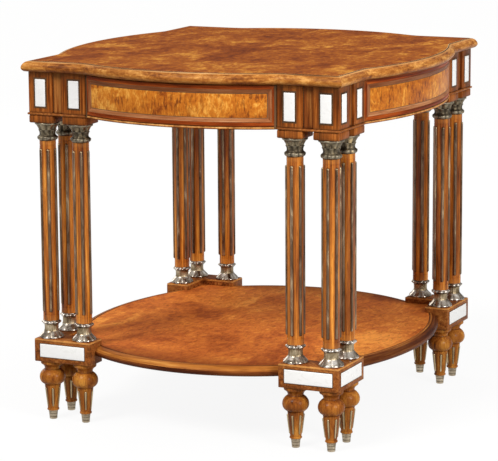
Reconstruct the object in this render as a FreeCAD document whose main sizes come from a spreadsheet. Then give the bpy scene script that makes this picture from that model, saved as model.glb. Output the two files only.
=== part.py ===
import FreeCAD, Part
import math
import os
import Sketcher

# Pier table with grouped columns at four corners, a bowed top, a bowed shelf and a frieze drawer.
# The frame is in millimetres: +X right, +Y to the back, +Z up, origin on the floor under the middle.
doc = FreeCAD.newDocument("pier_table")
sheet = doc.addObject("Spreadsheet::Sheet", "Sizes")

# Driving dimensions: alias, value, meaning
dimensions = [
    ("column_span_x", "600", "corner column axes, left to right"),
    ("column_span_y", "648", "corner column axes, front to back"),
    ("group_pitch", "73.3", "column axes within one corner group"),
    ("foot_height", "120", "floor to underside of plinth"),
    ("plinth_height", "46", "height of a corner plinth"),
    ("plinth_width", "50", "width of a plinth arm"),
    ("base_height", "35", "height of a column base casting"),
    ("shaft_height", "357.5", "column between its castings"),
    ("capital_height", "36", "height of a capital casting"),
    ("abacus_height", "15.5", "block between capital and frieze"),
    ("bead_height", "5", "bead under the frieze"),
    ("bead_reach", "2.5", "bead beyond the frieze face"),
    ("die_height", "79", "height of a frieze corner block"),
    ("die_width", "51", "width of a die on a corner block"),
    ("link_recess", "5", "setback of the links between dies"),
    ("top_thickness", "21", "thickness of the top"),
    ("top_overhang", "11", "top beyond the dies"),
    ("bow_overhang", "13", "top beyond the bowed friezes"),
    ("top_hollow_radius", "55", "hollow where the top sweeps out to its bow"),
    ("nosing_width", "22", "width of the lipping round the top"),
    ("nosing_round", "9", "rounding of the lipping, above and below"),
    ("frieze_setback", "3", "bowed frieze ends behind the dies"),
    ("frieze_thickness", "20", "thickness of a bowed frieze"),
    ("front_bow", "52", "rise of the front and back bows"),
    ("side_bow", "45", "rise of the side bows"),
    ("panel_thickness", "2", "veneered panel let into a frieze"),
    ("panel_end_margin", "17", "panel to the end of its frieze"),
    ("panel_low_margin", "17", "panel above the bead"),
    ("panel_high_margin", "17.5", "panel below the top"),
    ("inlay_thickness", "2", "pale inlay let into the wood"),
    ("inlay_width", "22", "upright inlay on a die"),
    ("inlay_height", "53", "upright inlay on a die"),
    ("inlay_rise", "12", "upright inlay above the bead"),
    ("plinth_inlay_margin", "12.5", "plinth inlay to the plinth ends"),
    ("plinth_inlay_height", "26", "height of a plinth inlay"),
    ("shelf_thickness", "19", "thickness of the shelf"),
    ("shelf_drop", "12", "shelf top below the plinth top"),
    ("shelf_setback", "22", "shelf edge behind the plinth face at a plinth end"),
    ("shelf_front_bow", "59", "rise of the front and back shelf bows"),
    ("shelf_side_bow", "49", "rise of the side shelf bows"),
    ("shelf_round", "7", "rounding of the shelf edge"),
    ("shaft_radius", "16", "turned shaft of a column"),
    ("neck_top_length", "16", "bare neck over the rods"),
    ("neck_low_length", "18", "bare neck under the rods"),
    ("rod_count", "6", "rods round a column or a foot"),
    ("rod_radius", "2.8", "half-round rod on a column"),
    ("spigot_radius", "8", "turned pin on a column end"),
    ("spigot_reach", "12", "pin beyond its casting"),
    ("spigot_fit", "0.1", "play round a pin"),
    ("socket_spare", "1", "socket depth beyond a pin"),
    ("capital_rim_radius", "24.4", "rim of the capital"),
    ("capital_rim_height", "4", "height of the capital rim"),
    ("capital_waist_radius", "15.8", "waist of the capital"),
    ("capital_waist_level", "18", "waist above the foot of the capital"),
    ("capital_ring_radius", "20.3", "leafy ring of the capital"),
    ("capital_ring_height", "6", "height of the leafy ring"),
    ("capital_lip_height", "3", "upright lip of that ring"),
    ("base_foot_radius", "23.8", "foot of the base"),
    ("base_foot_height", "3", "rim of the base foot"),
    ("base_waist_radius", "13.8", "waist of the base"),
    ("base_waist_level", "19", "waist above the foot of the base"),
    ("base_ring_radius", "19.4", "lobed ring of the base"),
    ("base_ring_height", "6", "height of the lobed ring"),
    ("base_lip_height", "3", "upright lip of that ring"),
    ("ferrule_height", "18", "height of a ferrule"),
    ("ferrule_top_radius", "9.5", "top of a ferrule"),
    ("ferrule_tip_radius", "7.6", "bottom of a ferrule"),
    ("ferrule_floor", "4", "solid bottom of a ferrule"),
    ("ferrule_pin_radius", "6", "foot pin inside the ferrule"),
    ("foot_ring_radius", "12", "ring above the ferrule"),
    ("foot_ring_height", "4", "height of that ring"),
    ("taper_low_radius", "10.9", "thin end of the tapered foot"),
    ("taper_high_radius", "16", "thick end of the tapered foot"),
    ("foot_rod_low_radius", "1.4", "thin end of a rod on a foot"),
    ("foot_rod_high_radius", "2.1", "thick end of a rod on a foot"),
    ("foot_rod_margin", "5", "rod to the ends of the taper"),
    ("foot_ball_radius", "25.7", "ball of the foot"),
    ("foot_ball_height", "35", "height of the ball"),
    ("foot_neck_radius", "15.6", "neck over the ball"),
    ("foot_collar_radius", "22.8", "collar under the plinth"),
    ("foot_collar_height", "6.5", "height of that collar"),
    ("foot_flare_height", "8", "hollow from neck to collar"),
    ("foot_flare_radius", "9", "radius of that hollow"),
    ("dowel_radius", "5", "dowel between corner block and top"),
    ("dowel_length", "26", "length of that dowel"),
    ("dowel_entry", "12", "dowel inside the top"),
    ("rail_thickness", "20", "drawer rail, front to back"),
    ("rail_height", "18", "drawer rail and runner"),
    ("rail_rise", "2", "drawer rail above the bead's underside"),
    ("runner_width", "50", "runner, side to side"),
    ("guide_height", "24", "guide that stands on a runner"),
    ("drawer_gap", "1", "play at the ends and top of the drawer front"),
    ("drawer_play", "0.5", "play of the drawer on runner and guide"),
    ("drawer_side_thickness", "12", "drawer side and back"),
    ("drawer_side_height", "55", "drawer side"),
    ("drawer_side_inset", "4", "drawer side within the front's end"),
    ("drawer_bottom_thickness", "6", "drawer bottom"),
    ("drawer_bottom_rise", "3", "drawer bottom above the sides' lower edge"),
    ("drawer_back_drop", "4", "drawer back below the sides"),
    ("drawer_length", "430", "drawer from its front's ends to its back"),
    ("kicker_width", "24", "strip over a drawer side"),
    ("overrun", "10", "cutters beyond what they cut"),
]
for row, (alias, value, meaning) in enumerate(dimensions, start=1):
    sheet.set("A%d" % row, meaning)
    sheet.set("B%d" % row, value)
    sheet.setAlias("B%d" % row, alias)
doc.recompute()

quarter_angle = 90
half_angle = 180
full_angle = 360
touch_share = 1e-6
subparts = []


def number(text):
    return float(sheet.evalExpression(text))


def half(text):
    return "(" + text + ") / 2"


def minus(text):
    return "-(" + text + ")"


def arc_radius(half_chord, rise):
    return "((%s)^2 + (%s)^2) / (2 * (%s))" % (half_chord, rise, rise)


def keep(item, label):
    item.Label = label
    subparts.append(item)
    return item


def place(item, x, y, z, turn=0):
    item.Placement = FreeCAD.Placement(
        FreeCAD.Vector(number(x), number(y), number(z)),
        FreeCAD.Rotation(FreeCAD.Vector(0, 0, 1), turn))
    item.setExpression("Placement.Base.x", x)
    item.setExpression("Placement.Base.y", y)
    item.setExpression("Placement.Base.z", z)
    return item


# Sketches: a loop is a list of (x, y, bend), where bend is None for a straight run to the next point,
# or ("left" or "right", radius) for an arc that turns that way.
def arc_between(start, end, turn, radius):
    chord = end - start
    across = FreeCAD.Vector(-chord.y, chord.x, 0).normalize()
    height = (radius ** 2 - (chord.Length / 2) ** 2) ** 0.5
    if turn == "right":
        across = -across
    centre = (start + end) / 2 + across * height
    circle = Part.Circle(centre, FreeCAD.Vector(0, 0, 1), radius)
    first, last = (start, end) if turn == "left" else (end, start)
    return Part.ArcOfCircle(circle, circle.parameter(first), circle.parameter(last))


def bind(sketch, kind, geometry, point, text):
    axis = {"DistanceX": -2, "DistanceY": -1}[kind]
    if text == "0":
        sketch.addConstraint(Sketcher.Constraint("PointOnObject", geometry, point, axis))
        return
    index = sketch.addConstraint(Sketcher.Constraint(kind, -1, 1, geometry, point, number(text)))
    name = "%s_%d" % (kind, index)
    sketch.renameConstraint(index, name)
    sketch.setExpression("Constraints." + name, text)


def add_loop(sketch, loop):
    corners = [FreeCAD.Vector(number(x), number(y), 0) for x, y, bend in loop]
    tails = []
    heads = []
    for index, (x, y, bend) in enumerate(loop):
        start = corners[index]
        end = corners[(index + 1) % len(loop)]
        if bend is None:
            geometry = sketch.addGeometry(Part.LineSegment(start, end))
        else:
            geometry = sketch.addGeometry(arc_between(start, end, bend[0], number(bend[1])))
            radius = sketch.addConstraint(Sketcher.Constraint("Radius", geometry, number(bend[1])))
            sketch.renameConstraint(radius, "radius_%d" % radius)
            sketch.setExpression("Constraints.radius_%d" % radius, bend[1])
        backwards = bend is not None and bend[0] == "right"
        tails.append((geometry, 2 if backwards else 1))
        heads.append((geometry, 1 if backwards else 2))
    for index, (x, y, bend) in enumerate(loop):
        following = tails[(index + 1) % len(loop)]
        sketch.addConstraint(Sketcher.Constraint("Coincident", *heads[index], *following))
        bind(sketch, "DistanceX", *tails[index], x)
        bind(sketch, "DistanceY", *tails[index], y)


def new_body(name):
    return doc.addObject("PartDesign::Body", name)


def sketch_on(body, role, loops):
    sketch = body.newObject("Sketcher::SketchObject", body.Name + "_sketch")
    plane = [item for item in body.Origin.OriginFeatures if item.Role == role][0]
    sketch.AttachmentSupport = (plane, [""])
    sketch.MapMode = "FlatFace"
    for loop in loops:
        add_loop(sketch, loop)
    return sketch


def pad(body, loops, length):
    feature = body.newObject("PartDesign::Pad", body.Name + "_pad")
    feature.Profile = sketch_on(body, "XY_Plane", loops)
    feature.setExpression("Length", length)
    return feature


def turned(name, profile):
    body = new_body(name)
    sketch = sketch_on(body, "XZ_Plane", [profile])
    feature = body.newObject("PartDesign::Revolution", name + "_turning")
    feature.Profile = sketch
    feature.ReferenceAxis = (sketch, ["V_Axis"])
    feature.Angle = full_angle
    return body


def block(name, length, width, height, x, y, z):
    box = doc.addObject("Part::Box", name)
    box.setExpression("Length", length)
    box.setExpression("Width", width)
    box.setExpression("Height", height)
    return place(box, x, y, z)


def peg(name, radius, height, x, y, z):
    cylinder = doc.addObject("Part::Cylinder", name)
    cylinder.setExpression("Radius", radius)
    cylinder.setExpression("Height", height)
    return place(cylinder, x, y, z)


def group(name, items):
    compound = doc.addObject("Part::Compound", name)
    compound.Links = items
    return compound


def cut(name, base, tool):
    result = doc.addObject("Part::Cut", name)
    result.Base = base
    result.Tool = tool
    return result


def common(name, base, tool):
    result = doc.addObject("Part::Common", name)
    result.Base = base
    result.Tool = tool
    return result


def copies(name, master, places):
    links = []
    for index, (x, y, z) in enumerate(places):
        link = doc.addObject("App::Link", "%s_%d" % (name, index))
        link.LinkedObject = master
        links.append(place(link, x, y, z))
    return links


# Levels from the floor up
plinth_low = "Sizes.foot_height"
plinth_top = plinth_low + " + Sizes.plinth_height"
base_top = plinth_top + " + Sizes.base_height"
capital_low = base_top + " + Sizes.shaft_height"
abacus_low = capital_low + " + Sizes.capital_height"
frieze_low = abacus_low + " + Sizes.abacus_height"
die_low = frieze_low + " + Sizes.bead_height"
top_low = die_low + " + Sizes.die_height"
shelf_low = plinth_top + " - Sizes.shelf_drop - Sizes.shelf_thickness"
frieze_height = "Sizes.bead_height + Sizes.die_height"
panel_low = die_low + " + Sizes.panel_low_margin"
foot_ring_top = "Sizes.ferrule_height + Sizes.foot_ring_height"
foot_collar_low = "Sizes.foot_height - Sizes.foot_collar_height"
foot_neck_top = foot_collar_low + " - Sizes.foot_flare_height"
foot_ball_low = foot_neck_top + " - Sizes.foot_ball_height"

# Plan places of the column groups: the corner column is at each group's own origin, its neighbours
# stand one pitch to the left and one pitch to the back, as in the front right group.
reach_x = "Sizes.column_span_x / 2"
reach_y = "Sizes.column_span_y / 2"
corner_places = {
    "front_right": (reach_x, minus(reach_y)),
    "back_right": (reach_x, reach_y),
    "back_left": (minus(reach_x), reach_y),
    "front_left": (minus(reach_x), minus(reach_y)),
}
group_spots = {
    "corner": ("0", "0"),
    "first": (minus("Sizes.group_pitch"), "0"),
    "second": ("0", "Sizes.group_pitch"),
}
die_half = half("Sizes.die_width")
plinth_half = half("Sizes.plinth_width")
die_end_x = "%s - Sizes.group_pitch - %s" % (reach_x, die_half)
die_end_y = "%s - Sizes.group_pitch - %s" % (reach_y, die_half)
die_face_x = "%s + %s" % (reach_x, die_half)
die_face_y = "%s + %s" % (reach_y, die_half)
bore_radius = "Sizes.spigot_radius + Sizes.spigot_fit"
socket_depth = "Sizes.spigot_reach + Sizes.socket_spare"


def turned_about(quarters, x, y):
    for step in range(quarters):
        x, y = minus(y), x
    return x, y


def per_corner(stem, make):
    for quarters, (corner, (x, y)) in enumerate(corner_places.items()):
        label = stem + "_" + corner
        keep(place(make(label), x, y, "0", quarters * quarter_angle), label)


def angle_loop(half_width, arm_end, outward):
    return [
        (outward, minus(outward), None),
        (outward, arm_end, None),
        (minus(half_width), arm_end, None),
        (minus(half_width), half_width, None),
        (minus(arm_end), half_width, None),
        (minus(arm_end), minus(outward), None),
    ]


def bulge(half_height, low_radius, high_radius):
    return ("left", arc_radius(half_height, high_radius + " - (" + low_radius + ")"))


# Turned feet with a ball, a taper and a pin for the ferrule
def foot_master():
    ball = bulge("Sizes.foot_ball_height / 2", "Sizes.foot_neck_radius", "Sizes.foot_ball_radius")
    pin_top = "Sizes.foot_height + Sizes.spigot_reach"
    return turned("foot", [
        ("0", "Sizes.ferrule_floor", None),
        ("Sizes.ferrule_pin_radius", "Sizes.ferrule_floor", None),
        ("Sizes.ferrule_pin_radius", "Sizes.ferrule_height", None),
        ("Sizes.foot_ring_radius", "Sizes.ferrule_height", None),
        ("Sizes.foot_ring_radius", foot_ring_top, None),
        ("Sizes.taper_low_radius", foot_ring_top, None),
        ("Sizes.taper_high_radius", foot_ball_low, None),
        ("Sizes.foot_neck_radius", foot_ball_low, ball),
        ("Sizes.foot_neck_radius", foot_neck_top, ("right", "Sizes.foot_flare_radius")),
        ("Sizes.foot_collar_radius", foot_collar_low, None),
        ("Sizes.foot_collar_radius", "Sizes.foot_height", None),
        ("Sizes.spigot_radius", "Sizes.foot_height", None),
        ("Sizes.spigot_radius", pin_top, None),
        ("0", pin_top, None),
    ])


def ferrule_master():
    socket = "Sizes.ferrule_pin_radius + Sizes.spigot_fit"
    return turned("ferrule", [
        ("0", "0", None),
        ("Sizes.ferrule_tip_radius", "0", None),
        ("Sizes.ferrule_top_radius", "Sizes.ferrule_height", None),
        (socket, "Sizes.ferrule_height", None),
        (socket, "Sizes.ferrule_floor", None),
        ("0", "Sizes.ferrule_floor", None),
    ])


# Castings that slip over the column pins: a wide rim, a hollow waist and a lipped ring at the shaft
def hollow(height, depth):
    return ("right", arc_radius(height, depth))


def base_master():
    ring_low = "Sizes.base_height - Sizes.base_ring_height"
    sweep = hollow("Sizes.base_waist_level - Sizes.base_foot_height",
                   "Sizes.base_foot_radius - Sizes.base_waist_radius")
    flare = hollow(ring_low + " - Sizes.base_waist_level",
                   "Sizes.base_ring_radius - Sizes.base_waist_radius")
    return turned("base", [
        (bore_radius, "0", None),
        ("Sizes.base_foot_radius", "0", None),
        ("Sizes.base_foot_radius", "Sizes.base_foot_height", sweep),
        ("Sizes.base_waist_radius", "Sizes.base_waist_level", flare),
        ("Sizes.base_ring_radius", ring_low, None),
        ("Sizes.base_ring_radius", ring_low + " + Sizes.base_lip_height", None),
        ("Sizes.shaft_radius", "Sizes.base_height", None),
        (bore_radius, "Sizes.base_height", None),
    ])


def capital_master():
    rim_low = "Sizes.capital_height - Sizes.capital_rim_height"
    flare = hollow("Sizes.capital_waist_level - Sizes.capital_ring_height",
                   "Sizes.capital_ring_radius - Sizes.capital_waist_radius")
    bell = hollow(rim_low + " - Sizes.capital_waist_level",
                  "Sizes.capital_rim_radius - Sizes.capital_waist_radius")
    return turned("capital", [
        (bore_radius, "0", None),
        ("Sizes.shaft_radius", "0", None),
        ("Sizes.capital_ring_radius", "Sizes.capital_ring_height - Sizes.capital_lip_height", None),
        ("Sizes.capital_ring_radius", "Sizes.capital_ring_height", flare),
        ("Sizes.capital_waist_radius", "Sizes.capital_waist_level", bell),
        ("Sizes.capital_rim_radius", rim_low, None),
        ("Sizes.capital_rim_radius", "Sizes.capital_height", None),
        (bore_radius, "Sizes.capital_height", None),
    ])


# Column: a turned shaft with a pin at each end
def column(name):
    pin_low = minus("Sizes.base_height + Sizes.spigot_reach")
    pin_top = "Sizes.shaft_height + Sizes.capital_height + Sizes.spigot_reach"
    return turned(name, [
        ("0", pin_low, None),
        ("Sizes.spigot_radius", pin_low, None),
        ("Sizes.spigot_radius", "0", None),
        ("Sizes.shaft_radius", "0", None),
        ("Sizes.shaft_radius", "Sizes.shaft_height", None),
        ("Sizes.spigot_radius", "Sizes.shaft_height", None),
        ("Sizes.spigot_radius", pin_top, None),
        ("0", pin_top, None),
    ])


def columns():
    for quarters, (corner, (x, y)) in enumerate(corner_places.items()):
        for spot, (along, back) in group_spots.items():
            label = "column_%s_%s" % (corner, spot)
            aside, behind = turned_about(quarters, along, back)
            place(keep(column(label), label), "%s + %s" % (x, aside), "%s + %s" % (y, behind), base_top)


# Half-round metal rods with domed ends, laid along the columns and the tapered feet
def rod_bar(name, low_radius, high_radius, length):
    return turned(name, [
        ("0", "0", ("left", low_radius)),
        (low_radius, low_radius, None),
        (high_radius, "%s - %s" % (length, high_radius), ("left", high_radius)),
        ("0", length, None),
    ])


def column_rod():
    length = "Sizes.shaft_height - Sizes.neck_low_length - Sizes.neck_top_length"
    bar = rod_bar("column_rod_bar", "Sizes.rod_radius", "Sizes.rod_radius", length)
    place(bar, "Sizes.shaft_radius", "0", "Sizes.neck_low_length")
    seat = peg("column_rod_seat", "Sizes.shaft_radius + Sizes.spigot_fit", "Sizes.shaft_height",
               "0", "0", "0")
    return cut("column_rod", bar, seat)


def foot_rod():
    rise = "(%s - (%s))" % (foot_ball_low, foot_ring_top)
    spread = "(Sizes.taper_high_radius - Sizes.taper_low_radius)"
    length = "sqrt(%s^2 + %s^2) * (1 - 2 * Sizes.foot_rod_margin / %s)" % (rise, spread, rise)
    bar = rod_bar("foot_rod_bar", "Sizes.foot_rod_low_radius", "Sizes.foot_rod_high_radius", length)
    place(bar, "Sizes.taper_low_radius + Sizes.foot_rod_margin * %s / %s" % (spread, rise), "0",
          foot_ring_top + " + Sizes.foot_rod_margin")
    lean = math.degrees(math.atan2(number(spread), number(rise)))
    bar.Placement = FreeCAD.Placement(bar.Placement.Base, FreeCAD.Rotation(FreeCAD.Vector(0, 1, 0), lean))
    seat = doc.addObject("Part::Cone", "foot_rod_seat")
    seat.setExpression("Radius1", "Sizes.taper_low_radius + Sizes.spigot_fit")
    seat.setExpression("Radius2", "Sizes.taper_high_radius + Sizes.spigot_fit")
    seat.setExpression("Height", rise)
    place(seat, "0", "0", foot_ring_top)
    return cut("foot_rod", bar, seat)


def rods_round(name, master):
    count = int(number("Sizes.rod_count"))
    links = []
    for index in range(count):
        link = doc.addObject("App::Link", "%s_%d" % (name, index))
        link.LinkedObject = master
        links.append(place(link, "0", "0", "0", index * full_angle / count - quarter_angle))
    return group(name, links)


def applied_rods():
    on_columns = rods_round("column_rods", column_rod())
    on_feet = rods_round("foot_rods", foot_rod())
    round_the_corners("applied_rods", copies("column_rods_at", on_columns, spots_at(base_top))
                      + copies("foot_rods_at", on_feet, spots_at("0")))


def spots_at(level):
    return [(along, back, level) for along, back in group_spots.values()]


def corner_groups(stem, master, level):
    links = copies(stem, master, spots_at(level))
    per_corner(stem, lambda name: group(name, links))


# Plinths: an angle of two arms, with sockets for the pins and a pale inlay on each outer face
plinth_end = "Sizes.group_pitch + " + plinth_half
inlay_length = "%s + %s - 2 * Sizes.plinth_inlay_margin" % (plinth_end, plinth_half)


def plinth_inlay_blocks():
    low = plinth_low + " + (Sizes.plinth_height - Sizes.plinth_inlay_height) / 2"
    start = minus(plinth_end) + " + Sizes.plinth_inlay_margin"
    front = block("plinth_inlay_front", inlay_length, "Sizes.inlay_thickness",
                  "Sizes.plinth_inlay_height", start, minus(plinth_half), low)
    side = block("plinth_inlay_side", "Sizes.inlay_thickness", inlay_length,
                 "Sizes.plinth_inlay_height", plinth_half + " - Sizes.inlay_thickness",
                 minus(plinth_half) + " + Sizes.plinth_inlay_margin", low)
    return [front, side]


def plinths():
    body = new_body("plinth")
    pad(body, [angle_loop(plinth_half, plinth_end, plinth_half)], "Sizes.plinth_height")
    place(body, "0", "0", plinth_low)
    inlays = plinth_inlay_blocks()
    sockets = []
    for spot, (along, back) in group_spots.items():
        sockets.append(peg("base_socket_" + spot, bore_radius, socket_depth + " + Sizes.overrun",
                           along, back, plinth_top + " - (" + socket_depth + ")"))
        sockets.append(peg("foot_socket_" + spot, bore_radius, socket_depth + " + Sizes.overrun",
                           along, back, plinth_low + " - Sizes.overrun"))
    tool = group("plinth_cuts", inlays + sockets)
    per_corner("plinth", lambda name: cut(name, body, tool))
    return inlays


# Frieze corners: three dies joined by set-back links, each outer die face with an upright inlay
def die_inlay_blocks():
    low = die_low + " + Sizes.inlay_rise"
    blocks = []
    for spot, along in (("corner", "0"), ("first", minus("Sizes.group_pitch"))):
        blocks.append(block("die_inlay_front_" + spot, "Sizes.inlay_width", "Sizes.inlay_thickness",
                            "Sizes.inlay_height", along + " - Sizes.inlay_width / 2",
                            minus(die_half), low))
    for spot, back in (("corner", "0"), ("second", "Sizes.group_pitch")):
        blocks.append(block("die_inlay_side_" + spot, "Sizes.inlay_thickness", "Sizes.inlay_width",
                            "Sizes.inlay_height", die_half + " - Sizes.inlay_thickness",
                            back + " - Sizes.inlay_width / 2", low))
    return blocks


def corner_blocks():
    far = "Sizes.group_pitch + " + die_half
    near = "Sizes.group_pitch - " + die_half
    sunk = die_half + " - Sizes.link_recess"
    body = new_body("corner_block")
    pad(body, [[
        (die_half, minus(die_half), None),
        (die_half, die_half, None),
        (sunk, die_half, None),
        (sunk, near, None),
        (die_half, near, None),
        (die_half, far, None),
        (minus(die_half), far, None),
        (minus(die_half), die_half, None),
        (minus(far), die_half, None),
        (minus(far), minus(die_half), None),
        (minus(near), minus(die_half), None),
        (minus(near), minus(sunk), None),
        (minus(die_half), minus(sunk), None),
        (minus(die_half), minus(die_half), None),
    ]], "Sizes.die_height")
    place(body, "0", "0", die_low)
    inlays = die_inlay_blocks()
    holes = [peg("dowel_hole_" + spot, "Sizes.dowel_radius + Sizes.spigot_fit",
                 "Sizes.dowel_length - Sizes.dowel_entry + Sizes.socket_spare + Sizes.overrun",
                 *group_spots[spot],
                 top_low + " - Sizes.dowel_length + Sizes.dowel_entry - Sizes.socket_spare")
             for spot in ("first", "second")]
    tool = group("corner_block_cuts", inlays + holes)
    per_corner("corner_block", lambda name: cut(name, body, tool))
    return inlays


def corner_beads():
    body = new_body("corner_bead")
    pad(body, [angle_loop(die_half, "Sizes.group_pitch + " + die_half, die_half + " + Sizes.bead_reach")],
        "Sizes.bead_height")
    links = []
    for quarters, (corner, (x, y)) in enumerate(corner_places.items()):
        link = doc.addObject("App::Link", "corner_bead_" + corner)
        link.LinkedObject = body
        links.append(place(link, x, y, frieze_low, quarters * quarter_angle))
    keep(group("corner_beads", links), "corner_beads")


def abacus_master():
    box = block("abacus", "Sizes.die_width", "Sizes.die_width", "Sizes.abacus_height",
                minus(die_half), minus(die_half), "0")
    socket = peg("abacus_socket", bore_radius, socket_depth + " + Sizes.overrun",
                 "0", "0", minus("Sizes.overrun"))
    return cut("abacus_block", box, socket)


def at_each_corner(stem, items):
    everywhere = []
    for quarters, (corner, (x, y)) in enumerate(corner_places.items()):
        everywhere.append(place(group(stem + "_" + corner, items), x, y, "0", quarters * quarter_angle))
    return group(stem, everywhere)


def round_the_corners(stem, items):
    keep(at_each_corner(stem, items), stem)


# Bowed friezes: each is drawn as a front frieze, with its chord on its own X axis
class Bow:
    def __init__(self, half_chord, face, rise):
        self.half_chord = half_chord
        self.face = face
        self.radius = arc_radius(half_chord, rise)
        self.centre = "(%s) - (%s) - (%s)" % (self.radius, face, rise)

    def depth(self, along, outward):
        reach = "(%s) + (%s)" % (self.radius, outward)
        return "%s - sqrt((%s)^2 - (%s)^2)" % (self.centre, reach, along)

    def band(self, half_length, outer, inner):
        outer_arc = ("left", "(%s) + (%s)" % (self.radius, outer))
        inner_arc = ("right", "(%s) + (%s)" % (self.radius, inner))
        return [
            (minus(half_length), self.depth(half_length, outer), outer_arc),
            (half_length, self.depth(half_length, outer), None),
            (half_length, self.depth(half_length, inner), inner_arc),
            (minus(half_length), self.depth(half_length, inner), None),
        ]


front_bow = Bow(die_end_x, die_face_y + " - Sizes.frieze_setback", "Sizes.front_bow")
side_bow = Bow(die_end_y, die_face_x + " - Sizes.frieze_setback", "Sizes.side_bow")
panel_height = "Sizes.die_height - Sizes.panel_low_margin - Sizes.panel_high_margin"


def frieze_panel(name, bow):
    body = new_body(name)
    half_length = bow.half_chord + " - Sizes.panel_end_margin"
    pad(body, [bow.band(half_length, "0", minus("Sizes.panel_thickness"))], panel_height)
    return place(body, "0", "0", panel_low)


def frieze(name, bow, half_length, height, panel):
    core = new_body(name + "_core")
    pad(core, [bow.band(half_length, "0", minus("Sizes.frieze_thickness"))], height)
    place(core, "0", "0", frieze_low)
    bead = new_body(name + "_bead")
    pad(bead, [bow.band(half_length, "Sizes.bead_reach", minus("Sizes.panel_thickness"))],
        "Sizes.bead_height")
    place(bead, "0", "0", frieze_low)
    moulded = doc.addObject("Part::Fuse", name + "_moulded")
    moulded.Base = core
    moulded.Tool = bead
    return cut(name, moulded, panel)


def friezes():
    panels = []
    sides = (("frieze_right", side_bow), ("frieze_back", front_bow), ("frieze_left", side_bow))
    for quarters, (label, bow) in enumerate(sides, start=1):
        turn = quarters * quarter_angle
        panel = frieze_panel(label + "_panel", bow)
        rail = frieze(label, bow, bow.half_chord, frieze_height, panel)
        keep(place(rail, "0", "0", "0", turn), label)
        link = doc.addObject("App::Link", label + "_panel_in_place")
        link.LinkedObject = panel
        panels.append(place(link, "0", "0", panel_low, turn))
    keep(group("frieze_panels", panels), "frieze_panels")


# Top: a veneered slab inside a rounded lipping, straight over the corners and bowed between them
def top_loop(inset):
    sides = [
        (front_bow, die_face_y + " + Sizes.top_overhang", die_face_x + " + Sizes.top_overhang"),
        (side_bow, die_face_x + " + Sizes.top_overhang", die_face_y + " + Sizes.top_overhang"),
    ]
    loop = []
    for quarters, (bow, straight, corner) in enumerate(sides + sides):
        scoop = "(Sizes.top_hollow_radius + (%s))" % inset
        sweep = "(%s + Sizes.bow_overhang - (%s))" % (bow.radius, inset)
        rise = "(%s + Sizes.top_hollow_radius + %s)" % (straight, bow.centre)
        span = "(Sizes.top_hollow_radius + %s + Sizes.bow_overhang)" % bow.radius
        start = "sqrt(%s^2 - %s^2)" % (span, rise)
        meet_along = "%s * %s / %s" % (start, sweep, span)
        meet_out = "%s * %s / %s - (%s)" % (rise, sweep, span, bow.centre)
        line = straight + " - (" + inset + ")"
        end = corner + " - (" + inset + ")"
        for along, out, bend in (
            (minus(end), line, None),
            (minus(start), line, ("right", scoop)),
            (minus(meet_along), meet_out, ("left", sweep)),
            (meet_along, meet_out, ("right", scoop)),
            (start, line, None),
        ):
            loop.append(turned_about(quarters, along, minus(out)) + (bend,))
    return loop


def edges_at(shape, levels, wanted):
    names = []
    for index, edge in enumerate(shape.Edges, start=1):
        box = edge.BoundBox
        near = edge.Length * touch_share
        level = box.ZLength < near and any(abs(box.ZMin - height) < near for height in levels)
        if level and wanted(edge):
            names.append("Edge%d" % index)
    return names


def round_edges(body, feature, levels, wanted, radius):
    doc.recompute()
    fillet = body.newObject("PartDesign::Fillet", body.Name + "_rounding")
    fillet.Base = (feature, edges_at(feature.Shape, levels, wanted))
    fillet.setExpression("Radius", radius)
    doc.recompute()
    return fillet


def top():
    dowels = copies("top_dowel", peg("dowel", "Sizes.dowel_radius", "Sizes.dowel_length", "0", "0", "0"),
                    [(*group_spots[spot], top_low + " - Sizes.dowel_length + Sizes.dowel_entry")
                     for spot in ("first", "second")])
    round_the_corners("top_dowels", dowels)
    holes = copies("top_hole", peg("hole", "Sizes.dowel_radius + Sizes.spigot_fit",
                                   "Sizes.dowel_entry + Sizes.overrun", "0", "0", "0"),
                   [(*group_spots[spot], top_low + " - Sizes.overrun") for spot in ("first", "second")])
    core = new_body("top_core")
    pad(core, [top_loop("Sizes.nosing_width")], "Sizes.top_thickness")
    place(core, "0", "0", top_low)
    keep(cut("top_slab", core, at_each_corner("top_holes", holes)), "top_slab")

    nosing = new_body("top_nosing")
    ring = pad(nosing, [top_loop("0"), top_loop("Sizes.nosing_width")], "Sizes.top_thickness")
    doc.recompute()
    outer = max(ring.Shape.Wires, key=lambda wire: wire.BoundBox.DiagonalLength)
    reach = [edge.CenterOfMass for edge in outer.Edges]
    thickness = number("Sizes.top_thickness")

    def on_rim(edge):
        middle = edge.CenterOfMass
        near = edge.Length * touch_share
        return any(abs(middle.x - spot.x) + abs(middle.y - spot.y) < near for spot in reach)

    round_edges(nosing, ring, (0, thickness), on_rim, "Sizes.nosing_round")
    keep(place(nosing, "0", "0", top_low), "top_nosing")


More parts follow.
